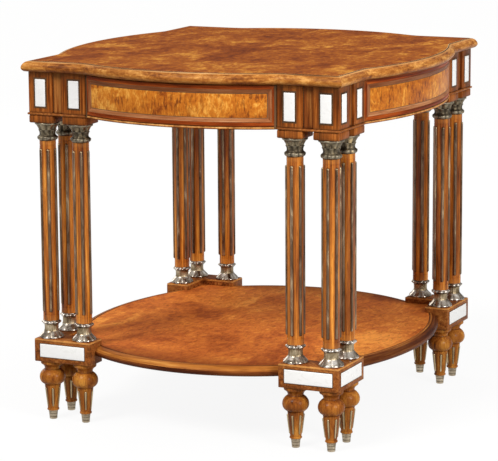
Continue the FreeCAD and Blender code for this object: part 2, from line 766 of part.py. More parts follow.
# Shelf: bowed on four sides, and let in round the inner faces of the plinths
def shelf():
    end_x = "%s - (%s)" % (reach_x, plinth_end)
    end_y = "%s - (%s)" % (reach_y, plinth_end)
    inner_x = "%s - %s" % (reach_x, plinth_half)
    inner_y = "%s - %s" % (reach_y, plinth_half)
    edge_x = "%s + %s - Sizes.shelf_setback" % (reach_x, plinth_half)
    edge_y = "%s + %s - Sizes.shelf_setback" % (reach_y, plinth_half)
    front_arc = ("left", arc_radius(end_x, "Sizes.shelf_front_bow"))
    side_arc = ("left", arc_radius(end_y, "Sizes.shelf_side_bow"))
    loop = [
        (minus(end_x), minus(edge_y), front_arc),
        (end_x, minus(edge_y), None),
        (end_x, minus(inner_y), None),
        (inner_x, minus(inner_y), None),
        (inner_x, minus(end_y), None),
        (edge_x, minus(end_y), side_arc),
        (edge_x, end_y, None),
        (inner_x, end_y, None),
        (inner_x, inner_y, None),
        (end_x, inner_y, None),
        (end_x, edge_y, front_arc),
        (minus(end_x), edge_y, None),
        (minus(end_x), inner_y, None),
        (minus(inner_x), inner_y, None),
        (minus(inner_x), end_y, None),
        (minus(edge_x), end_y, side_arc),
        (minus(edge_x), minus(end_y), None),
        (minus(inner_x), minus(end_y), None),
        (minus(inner_x), minus(inner_y), None),
        (minus(end_x), minus(inner_y), None),
    ]
    body = new_body("shelf")
    board = pad(body, [loop], "Sizes.shelf_thickness")
    round_edges(body, board, (0, number("Sizes.shelf_thickness")),
                lambda edge: edge.Curve.TypeId == "Part::GeomCircle", "Sizes.shelf_round")
    keep(place(body, "0", "0", shelf_low), "shelf")


# Drawer carcase: rails between the dies, runners with guides, and kickers under the top
rail_low = frieze_low + " + Sizes.rail_rise"
rail_top = rail_low + " + Sizes.rail_height"
inner_face_y = reach_y + " - " + die_half
side_outer = "%s - Sizes.drawer_gap - Sizes.drawer_side_inset" % die_end_x
side_low = rail_top + " + Sizes.drawer_play"
side_top = side_low + " + Sizes.drawer_side_height"


def drawer_carcase():
    for label, y in (("front_rail", minus(inner_face_y) + " - Sizes.rail_thickness"),
                     ("back_rail", inner_face_y)):
        keep(block(label, "2 * (%s)" % die_end_x, "Sizes.rail_thickness", "Sizes.rail_height",
                   minus(die_end_x), y, rail_low), label)
    guide = side_outer + " + Sizes.drawer_play"
    far = "%s - Sizes.drawer_side_thickness + Sizes.runner_width" % side_outer
    near = side_outer + " - Sizes.drawer_side_thickness"
    height = "Sizes.rail_height + Sizes.guide_height"
    for label, turn in (("runner_right", 0), ("runner_left", half_angle)):
        body = new_body(label)
        sketch = sketch_on(body, "XZ_Plane", [[
            (near, "0", None),
            (far, "0", None),
            (far, height, None),
            (guide, height, None),
            (guide, "Sizes.rail_height", None),
            (near, "Sizes.rail_height", None),
        ]])
        feature = body.newObject("PartDesign::Pad", label + "_pad")
        feature.Profile = sketch
        feature.Midplane = True
        feature.setExpression("Length", "2 * (%s)" % inner_face_y)
        keep(place(body, "0", "0", rail_low, turn), label)
    kicker_low = side_top + " + Sizes.drawer_play"
    strip = block("kicker", "Sizes.kicker_width", "2 * (%s)" % inner_face_y,
                  top_low + " - (" + kicker_low + ")", side_outer + " - Sizes.kicker_width",
                  minus(inner_face_y), kicker_low)
    sides = []
    for side, turn in (("right", 0), ("left", half_angle)):
        sides.append(place(group("kicker_" + side, [strip]), "0", "0", "0", turn))
    keep(group("drawer_kickers", sides), "drawer_kickers")


# Drawer: a bowed front with its panel, two sides, a back and a bottom shaped to the front
def drawer():
    panel = frieze_panel("drawer_panel", front_bow)
    keep(panel, "drawer_panel")
    front = frieze("drawer_front", front_bow, die_end_x + " - Sizes.drawer_gap",
                   frieze_height + " - Sizes.drawer_gap", panel)
    keep(front, "drawer_front")

    face = "%s - Sizes.frieze_setback + Sizes.front_bow" % die_face_y
    back = "%s - Sizes.drawer_length" % inner_face_y
    behind = front_bow.depth(side_outer, minus("Sizes.frieze_thickness"))
    bowl = new_body("drawer_bow")
    pad(bowl, [[
        (minus(side_outer), behind, ("left", front_bow.radius + " - Sizes.frieze_thickness")),
        (side_outer, behind, None),
        (side_outer, minus(back), None),
        (minus(side_outer), minus(back), None),
    ]], "Sizes.drawer_side_height")
    place(bowl, "0", "0", side_low)
    whole = "(%s) - (%s)" % (face, back)
    side_inner = side_outer + " - Sizes.drawer_side_thickness"
    for label, x in (("drawer_side_right", side_inner), ("drawer_side_left", minus(side_outer))):
        board = block(label + "_board", "Sizes.drawer_side_thickness", whole, "Sizes.drawer_side_height",
                      x, minus(face), side_low)
        keep(common(label, board, bowl), label)
    bottom_low = side_low + " + Sizes.drawer_bottom_rise"
    sheet_board = block("drawer_bottom_board", "2 * (%s)" % side_inner, whole,
                        "Sizes.drawer_bottom_thickness", minus(side_inner), minus(face), bottom_low)
    keep(common("drawer_bottom", sheet_board, bowl), "drawer_bottom")
    bottom_top = bottom_low + " + Sizes.drawer_bottom_thickness"
    keep(block("drawer_back", "2 * (%s)" % side_inner, "Sizes.drawer_side_thickness",
               side_top + " - Sizes.drawer_back_drop - (" + bottom_top + ")", minus(side_inner),
               minus(back) + " - Sizes.drawer_side_thickness", bottom_top), "drawer_back")


corner_groups("feet", foot_master(), "0")
corner_groups("column_bases", base_master(), plinth_top)
corner_groups("capitals", capital_master(), capital_low)
corner_groups("abaci", abacus_master(), abacus_low)
round_the_corners("ferrules", copies("ferrule_at", ferrule_master(), spots_at("0")))
round_the_corners("plinth_inlays", plinths())
round_the_corners("die_inlays", corner_blocks())
corner_beads()
columns()
applied_rods()
friezes()
top()
shelf()
drawer_carcase()
drawer()
doc.recompute()

faults = [item.Name for item in doc.Objects if "Invalid" in item.State or "Error" in item.State]
for item in subparts:
    if item.Shape.isNull() or not item.Shape.isValid() or not item.Shape.Solids:
        faults.append(item.Label)
if faults:
    raise RuntimeError("these did not build: " + ", ".join(faults))

os.makedirs("parts", exist_ok=True)
for item in subparts:
    item.Shape.exportStep(os.path.join("parts", item.Label + ".step"))
    print(item.Label, len(item.Shape.Solids), round(item.Shape.Volume))
print(len(subparts), "sub-parts")
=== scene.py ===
import bmesh
import bpy
import math
from mathutils import Matrix, Vector


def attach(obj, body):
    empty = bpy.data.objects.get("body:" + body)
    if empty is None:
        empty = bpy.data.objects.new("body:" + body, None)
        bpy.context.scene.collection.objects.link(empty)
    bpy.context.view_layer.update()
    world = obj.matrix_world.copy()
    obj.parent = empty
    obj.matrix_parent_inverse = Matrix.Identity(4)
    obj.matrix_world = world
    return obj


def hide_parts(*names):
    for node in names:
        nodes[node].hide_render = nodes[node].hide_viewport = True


# Pier table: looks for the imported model. Lengths below are in millimetres, the meshes are in metres.
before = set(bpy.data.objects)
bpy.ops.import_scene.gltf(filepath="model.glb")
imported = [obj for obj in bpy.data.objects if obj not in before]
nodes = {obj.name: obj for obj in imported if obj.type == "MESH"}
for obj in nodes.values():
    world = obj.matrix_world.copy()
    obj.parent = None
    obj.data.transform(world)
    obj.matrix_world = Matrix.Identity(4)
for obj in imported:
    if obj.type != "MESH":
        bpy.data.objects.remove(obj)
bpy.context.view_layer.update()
mm = 0.001
quarter = math.pi / 2
circle = 2 * math.pi

# plan of the four corner groups, front right first, then anticlockwise seen from above
plan = {
    "cornerNames": ["front_right", "back_right", "back_left", "front_left"],
    "cornerPoints": [(300, -324), (300, 324), (-300, 324), (-300, -324)],
    "spotNames": ["corner", "first", "second"],
    "pitch": 73.3, "dieHalf": 25.5, "plinthHalf": 25,
}
plan["spots"] = [(0, 0), (-plan["pitch"], 0), (0, plan["pitch"])]
corners = list(enumerate(plan["cornerNames"]))

# the four bowed sides: half chord, frieze face, rise, and the straight lines of the top
frontSide = {"half": 201.2, "face": 346.5, "rise": 52, "straight": 360.5, "corner": 336.5}
rightSide = {"half": 225.2, "face": 322.5, "rise": 45, "straight": 336.5, "corner": 360.5}
bowedSides = [frontSide, rightSide, frontSide, rightSide]
for bow in (frontSide, rightSide):
    bow["radius"] = (bow["half"] ** 2 + bow["rise"] ** 2) / (2 * bow["rise"])
    bow["centre"] = bow["radius"] - bow["face"] - bow["rise"]


def quarterTurned(corner, x, y):
    for step in range(corner):
        x, y = -y, x
    return x, y


def atCorner(corner, x, y):
    x, y = quarterTurned(corner, x, y)
    return x + plan["cornerPoints"][corner][0], y + plan["cornerPoints"][corner][1]


def onSide(side, along, out):
    return [(along, -out), (out, along), (-along, out), (-out, -along)][side]


# forms: points with hollow depths (painted shade on the timber and rods, patina on the castings and
# ferrules), faces with finish numbers, and the grain place of each face corner
def newForm():
    return {"points": [], "faces": [], "finishes": [], "grain": [], "hollow": []}


def addFace(form, spots, finish, grain):
    form["faces"].append(spots)
    form["finishes"].append(finish)
    form["grain"].extend(grain)


# painted shade below the top, on the panels' upper mouldings, and above edges of (level, reach, depth)
paintedShade = {
    "top": (685, 694.1, 8, 0.45), "moulding": (677, 0.5),
    "edges": [(615, 4, 0.6), (594.5, 5, 0.55), (120, 8, 0.4)],
}


def paintedShadeAt(level):
    topLow, topHigh, topReach, topDepth = paintedShade["top"]
    mouldingLow, mouldingDepth = paintedShade["moulding"]
    if topLow < level < topHigh:
        return topDepth * min(1, (level - topLow) / topReach)
    if mouldingLow < level <= topLow:
        return mouldingDepth
    for low, reach, depth in paintedShade["edges"]:
        if low <= level < low + reach:
            return depth * (1 - (level - low) / reach)
    return 0


def oneFinish(row, k):
    return 0


def addRings(form, rows, grain=None, ends=True, hollow=None, finishOf=oneFinish):
    # closed rows of points, joined row to row; grain gives each point its place in the timber
    count = len(rows[0])
    start = len(form["points"])
    grain = grain or rows
    for r, row in enumerate(rows):
        form["points"].extend(row)
        form["hollow"].extend(hollow[r] if hollow else [paintedShadeAt(p[2]) for p in row])
    for r in range(len(rows) - 1):
        for k in range(count):
            n = (k + 1) % count
            spots = [(r, k), (r, n), (r + 1, n), (r + 1, k)]
            face = [start + a * count + b for a, b in spots]
            addFace(form, face, finishOf(r, k), [grain[a][b] for a, b in spots])
    if ends:
        for r in (0, len(rows) - 1):
            addFace(form, [start + r * count + k for k in range(count)], finishOf(r, 0), grain[r])


def finishPiece(name, form, finishes, body, slotName, *replaced, sharp=35):
    mesh = bpy.data.meshes.new(name)
    mesh.from_pydata([Vector(p) * mm for p in form["points"]], [], form["faces"])
    place = mesh.attributes.new("grain", "FLOAT_VECTOR", "CORNER")
    place.data.foreach_set("vector", [v * mm for spot in form["grain"] for v in spot])
    depth = mesh.attributes.new("hollow", "FLOAT", "POINT")
    depth.data.foreach_set("value", form["hollow"])
    for finish in finishes:
        mesh.materials.append(finish)
    mesh.polygons.foreach_set("material_index", form["finishes"])
    work = bmesh.new()
    work.from_mesh(mesh)
    bmesh.ops.recalc_face_normals(work, faces=work.faces)
    work.to_mesh(mesh)
    work.free()
    mesh.polygons.foreach_set("use_smooth", [True] * len(mesh.polygons))
    mesh.set_sharp_from_angle(angle=math.radians(sharp))
    piece = bpy.data.objects.new(name, mesh)
    bpy.context.scene.collection.objects.link(piece)
    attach(piece, body)
    if replaced:
        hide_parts(*replaced)


def dress(finish, *labels):
    # nodes that keep their solids
    for label in labels:
        for slot in nodes[label].material_slots:
            slot.material = finish


grainSlip = (0.37, 0.61)


def addTurned(form, x, y, profile, around, wave, shift=0, turn=0, finishOf=oneFinish):
    # profile of (radius, level); wave gives a radius factor and a hollow depth by profile step and angle
    rows, depths, places = [], [], []
    for step, (radius, level) in enumerate(profile):
        row, deep = [], []
        for k in range(around):
            angle = circle * k / around
            factor, dip = wave(step, angle)
            angle += turn
            row.append((x + radius * factor * math.cos(angle), y + radius * factor * math.sin(angle), level))
            deep.append(dip)
        rows.append(row)
        depths.append(deep)
        places.append([(p[2] + shift, p[0] - x + shift * grainSlip[0], p[1] - y + shift * grainSlip[1])
                       for p in row])
    addRings(form, rows, places, hollow=depths, finishOf=finishOf)


def addSpot(form, corner, index, turning, wave, finishOf=oneFinish):
    # a turned piece in a corner group; its grain shifts by corner and spot, its turns are quarters
    profile = [(radius, level + turning["low"]) for radius, level in turning["profile"]]
    shift = turning["shift"][0] * corner + turning["shift"][1] * index
    x, y = atCorner(corner, *plan["spots"][index])
    turn = quarter * (corner + turning["turn"])
    addTurned(form, x, y, profile, turning["around"], wave, shift, turn, finishOf)


def turnedGroups(label, node, turning, wave, finishes, slotName, sharp, finishOf=oneFinish):
    for corner, name in corners:
        group = newForm()
        for index in range(len(plan["spots"])):
            addSpot(group, corner, index, turning, wave, finishOf)
        finishPiece(label + name, group, finishes, "table", slotName, node + name, sharp=sharp)


easeBulge = 0.29


def insetLoop(loop, inset, ease):
    # a rectangular-cornered loop moved inwards, with each corner eased by three points
    made = []
    count = len(loop)
    for k in range(count):
        here = Vector(loop[k])
        came = (here - Vector(loop[k - 1])).normalized()
        goes = (Vector(loop[(k + 1) % count]) - here).normalized()
        inward = Vector((-came.y, came.x)) + Vector((-goes.y, goes.x))
        spot = here + inward * inset
        turnsIn = came.x * goes.y - came.y * goes.x
        made.append(spot - came * ease)
        made.append(spot + inward * ease * easeBulge * (1 if turnsIn > 0 else -1))
        made.append(spot + goes * ease)
    return made


def addPrism(form, loop, levels, ease, corner, grainOf, finishOf=oneFinish):
    # levels of (inset, height) from the bottom up
    rows, places = [], []
    for inset, height in levels:
        spots = insetLoop(loop, inset, ease)
        places.append([grainOf(p.x, p.y, height) for p in spots])
        rows.append([(*atCorner(corner, p.x, p.y), height) for p in spots])
    addRings(form, rows, places, finishOf=finishOf)


def addTablet(form, middle, right, up, out, width, height, levels, ease):
    # a small slab on a flat face; levels of (inset, distance out of the face)
    rows, places = [], []
    for inset, stand in levels:
        w = width / 2 - inset
        h = height / 2 - inset
        spots = insetLoop([(-w, -h), (w, -h), (w, h), (-w, h)], 0, ease)
        rows.append([tuple(Vector(middle) + Vector(right) * p.x + Vector(up) * p.y + Vector(out) * stand)
                     for p in spots])
        places.append([(p.x + middle[0], p.y + middle[2], middle[1] + stand) for p in spots])
    addRings(form, rows, places)


inlay = {
    "face": [(0, -1.6), (0, 0.35), (0.5, 0.8), (1.6, 0.95)], "faceEase": 0.6,
    "line": [(0, -1.2), (0, 0.15), (0.25, 0.35)], "lineEase": 0.3,
}


def addInlay(faces, lines, spot, width, height, border):
    # a pale tablet and the dark line round it
    addTablet(faces, *spot, width, height, inlay["face"], inlay["faceEase"])
    addTablet(lines, *spot, width + 2 * border, height + 2 * border, inlay["line"], inlay["lineEase"])


# node helpers for the finishes
def newFinish(name):
    finish = bpy.data.materials.new(name)
    finish.use_nodes = True
    return finish, finish.node_tree, finish.node_tree.nodes["Principled BSDF"]


def put(tree, kind, inputs=None, **settings):
    node = tree.nodes.new("ShaderNode" + kind)
    for key, value in settings.items():
        setattr(node, key, value)
    for key, value in (inputs or {}).items():
        if isinstance(value, bpy.types.NodeSocket):
            tree.links.new(value, node.inputs[key])
        else:
            node.inputs[key].default_value = value
    return node


def stretched(tree, where, amounts, slide=0):
    inputs = {"Vector": where, "Scale": amounts, "Location": (0, slide, 0)}
    return put(tree, "Mapping", inputs).outputs[0]


def cloudAt(tree, where, amounts, detail, rough, warp, slide=0):
    where = stretched(tree, where, amounts, slide)
    inputs = {"Vector": where, "Scale": 1, "Detail": detail, "Roughness": rough, "Distortion": warp}
    return put(tree, "TexNoise", inputs).outputs["Fac"]


def spread(tree, value, low, high, first=0.0, last=1.0):
    inputs = {"Value": value, "From Min": low, "From Max": high, "To Min": first, "To Max": last}
    return put(tree, "MapRange", inputs).outputs[0]


def reckon(tree, operation, first, second=0.0):
    return put(tree, "Math", {0: first, 1: second}, operation=operation).outputs[0]


def scaled(tree, value, share):
    return reckon(tree, "MULTIPLY", value, share)


def toneAlong(tree, value, stops):
    node = put(tree, "ValToRGB", {"Fac": value})
    bar = node.color_ramp.elements
    while len(bar) < len(stops):
        bar.new(0.5)
    for mark, (place, tone) in zip(bar, stops):
        mark.position = place
        mark.color = (*tone, 1)
    return node.outputs["Color"]


def blend(tree, factor, tone, other):
    return put(tree, "Mix", {0: factor, 6: tone, 7: (*other, 1)}, data_type="RGBA").outputs[2]


def figured(tree, look, first, *others):
    # the layers' weighed sum, spread along the tones
    total = scaled(tree, first, look["shares"][0])
    for layer, share in zip(others, look["shares"][1:]):
        total = reckon(tree, "ADD", total, scaled(tree, layer, share))
    return toneAlong(tree, spread(tree, total, *look["spread"]), look["tones"])


def timberPlace(tree, turn):
    # own pieces carry their grain; solids from the frame use their place in the table
    if turn is None:
        return put(tree, "Attribute", attribute_name="grain").outputs["Vector"]
    where = put(tree, "TexCoord").outputs["Object"]
    return put(tree, "Mapping", {"Vector": where, "Rotation": turn}).outputs[0]


def hollowDepth(tree):
    return put(tree, "Attribute", attribute_name="hollow").outputs["Fac"]


def withPaintedShade(tree, turn, tone, dark):
    # painted shade from the hollow depths; only own pieces carry them
    if turn is not None:
        return tone
    return blend(tree, scaled(tree, hollowDepth(tree), share=0.85), tone, dark)


def atEdges(tree, tone, other, low, high, share):
    # another tone where the surface bends
    bend = put(tree, "NewGeometry").outputs["Pointiness"]
    return blend(tree, scaled(tree, spread(tree, bend, low, high), share), tone, other)


glossBand = (0.3, 0.7)
castGlossBand = (0.35, 0.7)
socketKeys = {"Specular IOR Level": "shine", "Coat Weight": "polish", "Coat Roughness": "coatRough",
              "Metallic": "metal"}


def joinFinish(tree, shader, look, tone, rough, height):
    inputs = {"Strength": look["relief"], "Distance": look["bump"], "Height": height}
    bump = put(tree, "Bump", inputs)
    for socket, value in (("Base Color", tone), ("Roughness", rough), ("Normal", bump.outputs[0])):
        tree.links.new(value, shader.inputs[socket])
    for socket, key in socketKeys.items():
        if key in look:
            shader.inputs[socket].default_value = look[key]


def timberFinish(name, base, turn=None, **changes):
    # straight-grained polished timber: broad bands, fine streaks, pores, paler worn edges and painted shade
    finish, tree, shader = newFinish(name)
    look = dict(base, **changes)
    where = timberPlace(tree, turn)
    cloud = cloudAt(tree, where, look["cloud"], detail=3, rough=0.5, warp=0.4)
    bands = cloudAt(tree, where, look["bands"], detail=4, rough=0.6, warp=look["waver"])
    streaks = cloudAt(tree, where, look["streaks"], detail=5, rough=0.65, warp=0.2)
    pores = cloudAt(tree, where, look["pores"], detail=2, rough=0.5, warp=0)
    poreMask = spread(tree, pores, low=0.60, high=0.70, last=look["poreDepth"])
    tone = blend(tree, poreMask, figured(tree, look, cloud, bands, streaks), look["poreTone"])
    tone = atEdges(tree, tone, look["wornTone"], low=0.53, high=0.60, share=look["wear"])
    tone = atEdges(tree, tone, look["poreTone"], low=0.47, high=0.42, share=0.55)
    tone = withPaintedShade(tree, turn, tone, look["poreTone"])
    rough = spread(tree, streaks, *glossBand, *look["rough"])
    height = reckon(tree, "SUBTRACT", streaks, scaled(tree, poreMask, share=0.8))
    joinFinish(tree, shader, look, tone, rough, height)
    return finish


def veneerFinish(name, base, turn=None, **changes):
    # cloudy figured veneer laid in leaves that meet in fine joints
    finish, tree, shader = newFinish(name)
    look = dict(base, **changes)
    split = put(tree, "SeparateXYZ", {0: timberPlace(tree, turn)})
    moved = reckon(tree, "ADD", split.outputs[0], look["leafShift"])
    leaf = reckon(tree, "FLOOR", reckon(tree, "DIVIDE", moved, look["leaf"]))
    folded = reckon(tree, "PINGPONG", moved, look["leaf"])
    depth = reckon(tree, "ADD", split.outputs[2], scaled(tree, leaf, look["leafStep"]))
    laid = put(tree, "CombineXYZ", {0: folded, 1: split.outputs[1], 2: depth}).outputs[0]
    drift = cloudAt(tree, laid, look["drift"], detail=5, rough=0.62, warp=0.9, slide=look["driftSlide"])
    curl = cloudAt(tree, laid, look["curl"], detail=6, rough=0.68, warp=1.6)
    fibre = cloudAt(tree, laid, look["fibre"], detail=4, rough=0.6, warp=look["fibreWarp"])
    tone = figured(tree, look, drift, curl, fibre)
    flecks = cloudAt(tree, laid, look["flecks"], detail=3, rough=0.6, warp=0.8)
    fleckMask = spread(tree, flecks, *look["fleckBand"], last=look["fleckDepth"])
    inDark = spread(tree, drift, low=0.62, high=0.44, first=look["fleckLeast"])
    tone = blend(tree, scaled(tree, fleckMask, inDark), tone, look["fleckTone"])
    eyes = put(tree, "TexVoronoi", {"Vector": stretched(tree, laid, look["eyes"]), "Scale": 1})
    eyeMask = spread(tree, eyes.outputs["Distance"], low=0.22, high=0.08, last=look["eyeDepth"])
    inPale = spread(tree, drift, low=0.48, high=0.62)
    tone = blend(tree, scaled(tree, eyeMask, inPale), tone, look["fleckTone"])
    tone = withPaintedShade(tree, turn, tone, look["fleckTone"])
    joinFinish(tree, shader, look, tone, spread(tree, curl, *glossBand, *look["rough"]), fibre)
    return finish


def castFinish(name, base, **changes):
    # cast and rubbed metal: bright on the high places, dark in the hollows: patina on the castings and
    # ferrules, painted shade on the rods
    finish, tree, shader = newFinish(name)
    look = dict(base, **changes)
    where = put(tree, "TexCoord").outputs["Object"]
    patch = cloudAt(tree, where, look["patch"], detail=5, rough=0.62, warp=0.8)
    grit = cloudAt(tree, where, look["grit"], detail=3, rough=0.6, warp=0.2)
    tone = toneAlong(tree, spread(tree, patch, low=0.34, high=0.68), look["tones"])
    deep = scaled(tree, hollowDepth(tree), spread(tree, grit, low=0.25, high=0.6, first=0.75))
    tone = blend(tree, scaled(tree, deep, look["hollowDepth"]), tone, look["hollowTone"])
    tone = atEdges(tree, tone, look["wornTone"], low=0.52, high=0.62, share=look["wear"])
    rough = spread(tree, patch, *castGlossBand, *look["rough"])
    rough = reckon(tree, "ADD", rough, scaled(tree, deep, share=0.3))
    joinFinish(tree, shader, look, tone, rough, grit)
    return finish


def pearlFinish(name, look):
    # pale inlay with a faint cloudy figure and a satin face
    finish, tree, shader = newFinish(name)
    where = put(tree, "TexCoord").outputs["Object"]
    cloud = cloudAt(tree, where, look["cloud"], detail=4, rough=0.6, warp=1.5)
    lines = cloudAt(tree, where, look["lines"], detail=3, rough=0.6, warp=1.0)
    tone = toneAlong(tree, spread(tree, cloud, *look["spread"]), look["tones"])
    tone = blend(tree, spread(tree, lines, *look["lineBand"], last=look["lineDepth"]), tone, look["lineTone"])
    joinFinish(tree, shader, look, tone, spread(tree, cloud, *look["glossBand"], *look["rough"]), lines)
    return finish


def ramp(second, third, *tones):
    # four tones from dark to pale, and the places of the two between
    return list(zip((0.0, second, third, 1.0), tones))


# finishes of the timber
topVeneerLook = {
    "leaf": 0.26, "leafShift": 0.03, "leafStep": 0.045, "drift": (6.4, 4.6, 6), "driftSlide": 2.6,
    "curl": (30, 23, 20), "fibre": (150, 62, 60), "fibreWarp": 0.6, "shares": (0.50, 0.32, 0.18),
    "spread": (0.40, 0.62),
    "tones": ramp(0.33, 0.60, (0.135, 0.026, 0.005), (0.25, 0.058, 0.009), (0.37, 0.104, 0.014),
                  (0.66, 0.285, 0.046)),
    "flecks": (160, 70, 80), "fleckBand": (0.56, 0.66), "fleckLeast": 1.0, "fleckDepth": 0.32,
    "fleckTone": (0.112, 0.0224, 0.0056), "eyes": (90, 40, 60), "eyeDepth": 0.5, "rough": (0.45, 0.6),
    "relief": 0.12, "bump": 0.0003, "shine": 0.02, "polish": 0.0, "coatRough": 0.2,
}
shelfVeneer = veneerFinish(
    "shelfVeneer", topVeneerLook, leaf=0.205, leafShift=0.09, leafStep=0.08, drift=(5.6, 4.0, 6),
    driftSlide=3.6, spread=(0.41, 0.61), fleckDepth=0.36, eyeDepth=0.25,
    tones=ramp(0.33, 0.65, (0.36, 0.08, 0.0165), (0.555, 0.144, 0.027), (0.69, 0.206, 0.036),
               (0.88, 0.335, 0.063)))
burrLook = {
    "leaf": 0.2, "leafShift": 0.0, "leafStep": 0.05, "drift": (10, 17, 10), "driftSlide": 0,
    "curl": (52, 42, 40), "fibre": (150, 56, 60), "fibreWarp": 1.2, "shares": (0.48, 0.26, 0.26),
    "spread": (0.40, 0.60),
    "tones": ramp(0.30, 0.62, (0.235, 0.05, 0.0065), (0.445, 0.119, 0.0115), (0.58, 0.183, 0.0165),
                  (0.83, 0.385, 0.066)),
    "flecks": (165, 42, 60), "fleckBand": (0.545, 0.595), "fleckLeast": 0.15, "fleckDepth": 0.85,
    "fleckTone": (0.168, 0.0392, 0.00672), "eyes": (120, 150, 100), "eyeDepth": 0.35, "rough": (0.35, 0.5),
    "relief": 0.15, "bump": 0.0003, "shine": 0.1, "polish": 0.0, "coatRough": 0.2,
}
lipVeneer = veneerFinish(
    "lipVeneer", burrLook, leaf=0.6, drift=(15, 34, 34), curl=(75, 100, 100), fibre=(38, 260, 260),
    fibreWarp=0.9, shares=(0.44, 0.28, 0.28),
    tones=ramp(0.33, 0.62, (0.146, 0.0381, 0.00672), (0.325, 0.103, 0.0168), (0.47, 0.176, 0.0314),
               (0.706, 0.336, 0.084)),
    flecks=(60, 260, 260), fleckDepth=0.35, fleckTone=(0.101, 0.0246, 0.0056), eyeDepth=0.2)
edgeLook = {
    "cloud": (5, 22, 22), "bands": (5, 75, 75), "streaks": (18, 420, 420), "waver": 0.8,
    "pores": (45, 900, 900), "shares": (0.3, 0.45, 0.25), "spread": (0.38, 0.62),
    "tones": ramp(0.35, 0.65, (0.112, 0.028, 0.0056), (0.308, 0.0952, 0.0157), (0.459, 0.166, 0.0302),
                  (0.694, 0.319, 0.0762)),
    "poreDepth": 0.6, "poreTone": (0.0952, 0.0224, 0.0056), "wear": 0.5, "wornTone": (0.739, 0.381, 0.123),
    "rough": (0.36, 0.52), "relief": 0.2, "bump": 0.0004, "shine": 0.06, "polish": 0.0, "coatRough": 0.16,
}
bandingLook = dict(
    edgeLook, cloud=(6, 24, 24), bands=(5, 160, 160), streaks=(14, 300, 300), spread=(0.41, 0.59),
    tones=ramp(0.38, 0.70, (0.04, 0.0078, 0.00125), (0.145, 0.03, 0.0038), (0.248, 0.058, 0.0075),
               (0.44, 0.132, 0.0207)),
    poreTone=(0.0336, 0.00784, 0.00336), wornTone=(0.448, 0.168, 0.0403))
frameMahogany = timberFinish(
    "frameMahogany", bandingLook,
    tones=ramp(0.4, 0.72, (0.11, 0.0152, 0.002), (0.25, 0.038, 0.0045), (0.36, 0.064, 0.008),
               (0.51, 0.115, 0.016)))
turningLook = dict(
    edgeLook, cloud=(4, 30, 30), bands=(3, 120, 120), wear=0.35, polish=0.25,
    tones=ramp(0.33, 0.66, (0.0784, 0.0157, 0.00224), (0.302, 0.0784, 0.00896), (0.56, 0.179, 0.0202),
               (0.896, 0.381, 0.0616)),
    poreTone=(0.056, 0.0123, 0.00336), wornTone=(0.65, 0.28, 0.0672))
footMahogany = timberFinish(
    "footMahogany", turningLook, bands=(9, 60, 60), polish=0.1,
    tones=ramp(0.36, 0.68, (0.0672, 0.0157, 0.00224), (0.241, 0.0672, 0.00896), (0.392, 0.134, 0.019),
               (0.605, 0.263, 0.0426)))
oakLook = dict(
    edgeLook, rough=(0.49, 0.65), shine=0.12, wear=0.3, poreTone=(0.224, 0.123, 0.0504),
    wornTone=(0.717, 0.56, 0.347),
    tones=ramp(0.4, 0.72, (0.336, 0.202, 0.0896), (0.504, 0.336, 0.168), (0.594, 0.426, 0.224),
               (0.672, 0.504, 0.291)))
# dark tones for the stringing round panels and tablets, and for dark painted shadow in quirks, beside the
# links and in the drawer's end gaps
darkLine = timberFinish(
    "darkLine", edgeLook, shine=0.03, poreTone=(0.0224, 0.0112, 0.00672), wornTone=(0.202, 0.112, 0.056),
    tones=ramp(0.4, 0.72, (0.0336, 0.0146, 0.00672), (0.0728, 0.0336, 0.0146), (0.118, 0.0582, 0.0258),
               (0.19, 0.0986, 0.047)))
# painted highlight tones, along the top of the lipping's thumb moulding and on the front of the friezes' bead
paintedHighlightEdge = timberFinish(
    "paintedHighlightEdge", edgeLook,
    tones=ramp(0.35, 0.65, (0.269, 0.101, 0.0246), (0.47, 0.202, 0.0538), (0.616, 0.297, 0.0952),
               (0.806, 0.459, 0.185)))
paleBead = timberFinish(
    "paleBead", edgeLook, wornTone=(0.62, 0.36, 0.2), wear=0.3,
    tones=ramp(0.35, 0.65, (0.13, 0.038, 0.012), (0.28, 0.092, 0.031), (0.40, 0.155, 0.06),
               (0.55, 0.265, 0.125)))
plainMahogany = timberFinish(
    "plainMahogany", bandingLook,
    tones=ramp(0.36, 0.68, (0.066, 0.0138, 0.0031), (0.19, 0.046, 0.0086), (0.292, 0.086, 0.0168),
               (0.445, 0.168, 0.039)))
# painted highlight tones, for the fine line at the inner edge of the lipping
paintedHighlightLine = timberFinish(
    "paintedHighlightLine", edgeLook, wornTone=(0.918, 0.739, 0.493),
    tones=ramp(0.4, 0.72, (0.538, 0.336, 0.146), (0.694, 0.47, 0.224), (0.784, 0.56, 0.302),
               (0.874, 0.672, 0.403)))
noTurn = (0, 0, 0)
endwise = (0, 0, quarter)
topVeneer = veneerFinish("topVeneer", topVeneerLook, noTurn)
burrVeneer = veneerFinish("burrVeneer", burrLook)
edgeMahogany = timberFinish("edgeMahogany", edgeLook)
bandingMahogany = timberFinish("bandingMahogany", bandingLook)
turnedMahogany = timberFinish("turnedMahogany", turningLook)
drawerOak = timberFinish("drawerOak", oakLook, endwise)
carcaseOak = timberFinish("carcaseOak", oakLook, endwise, rough=(0.56, 0.72))

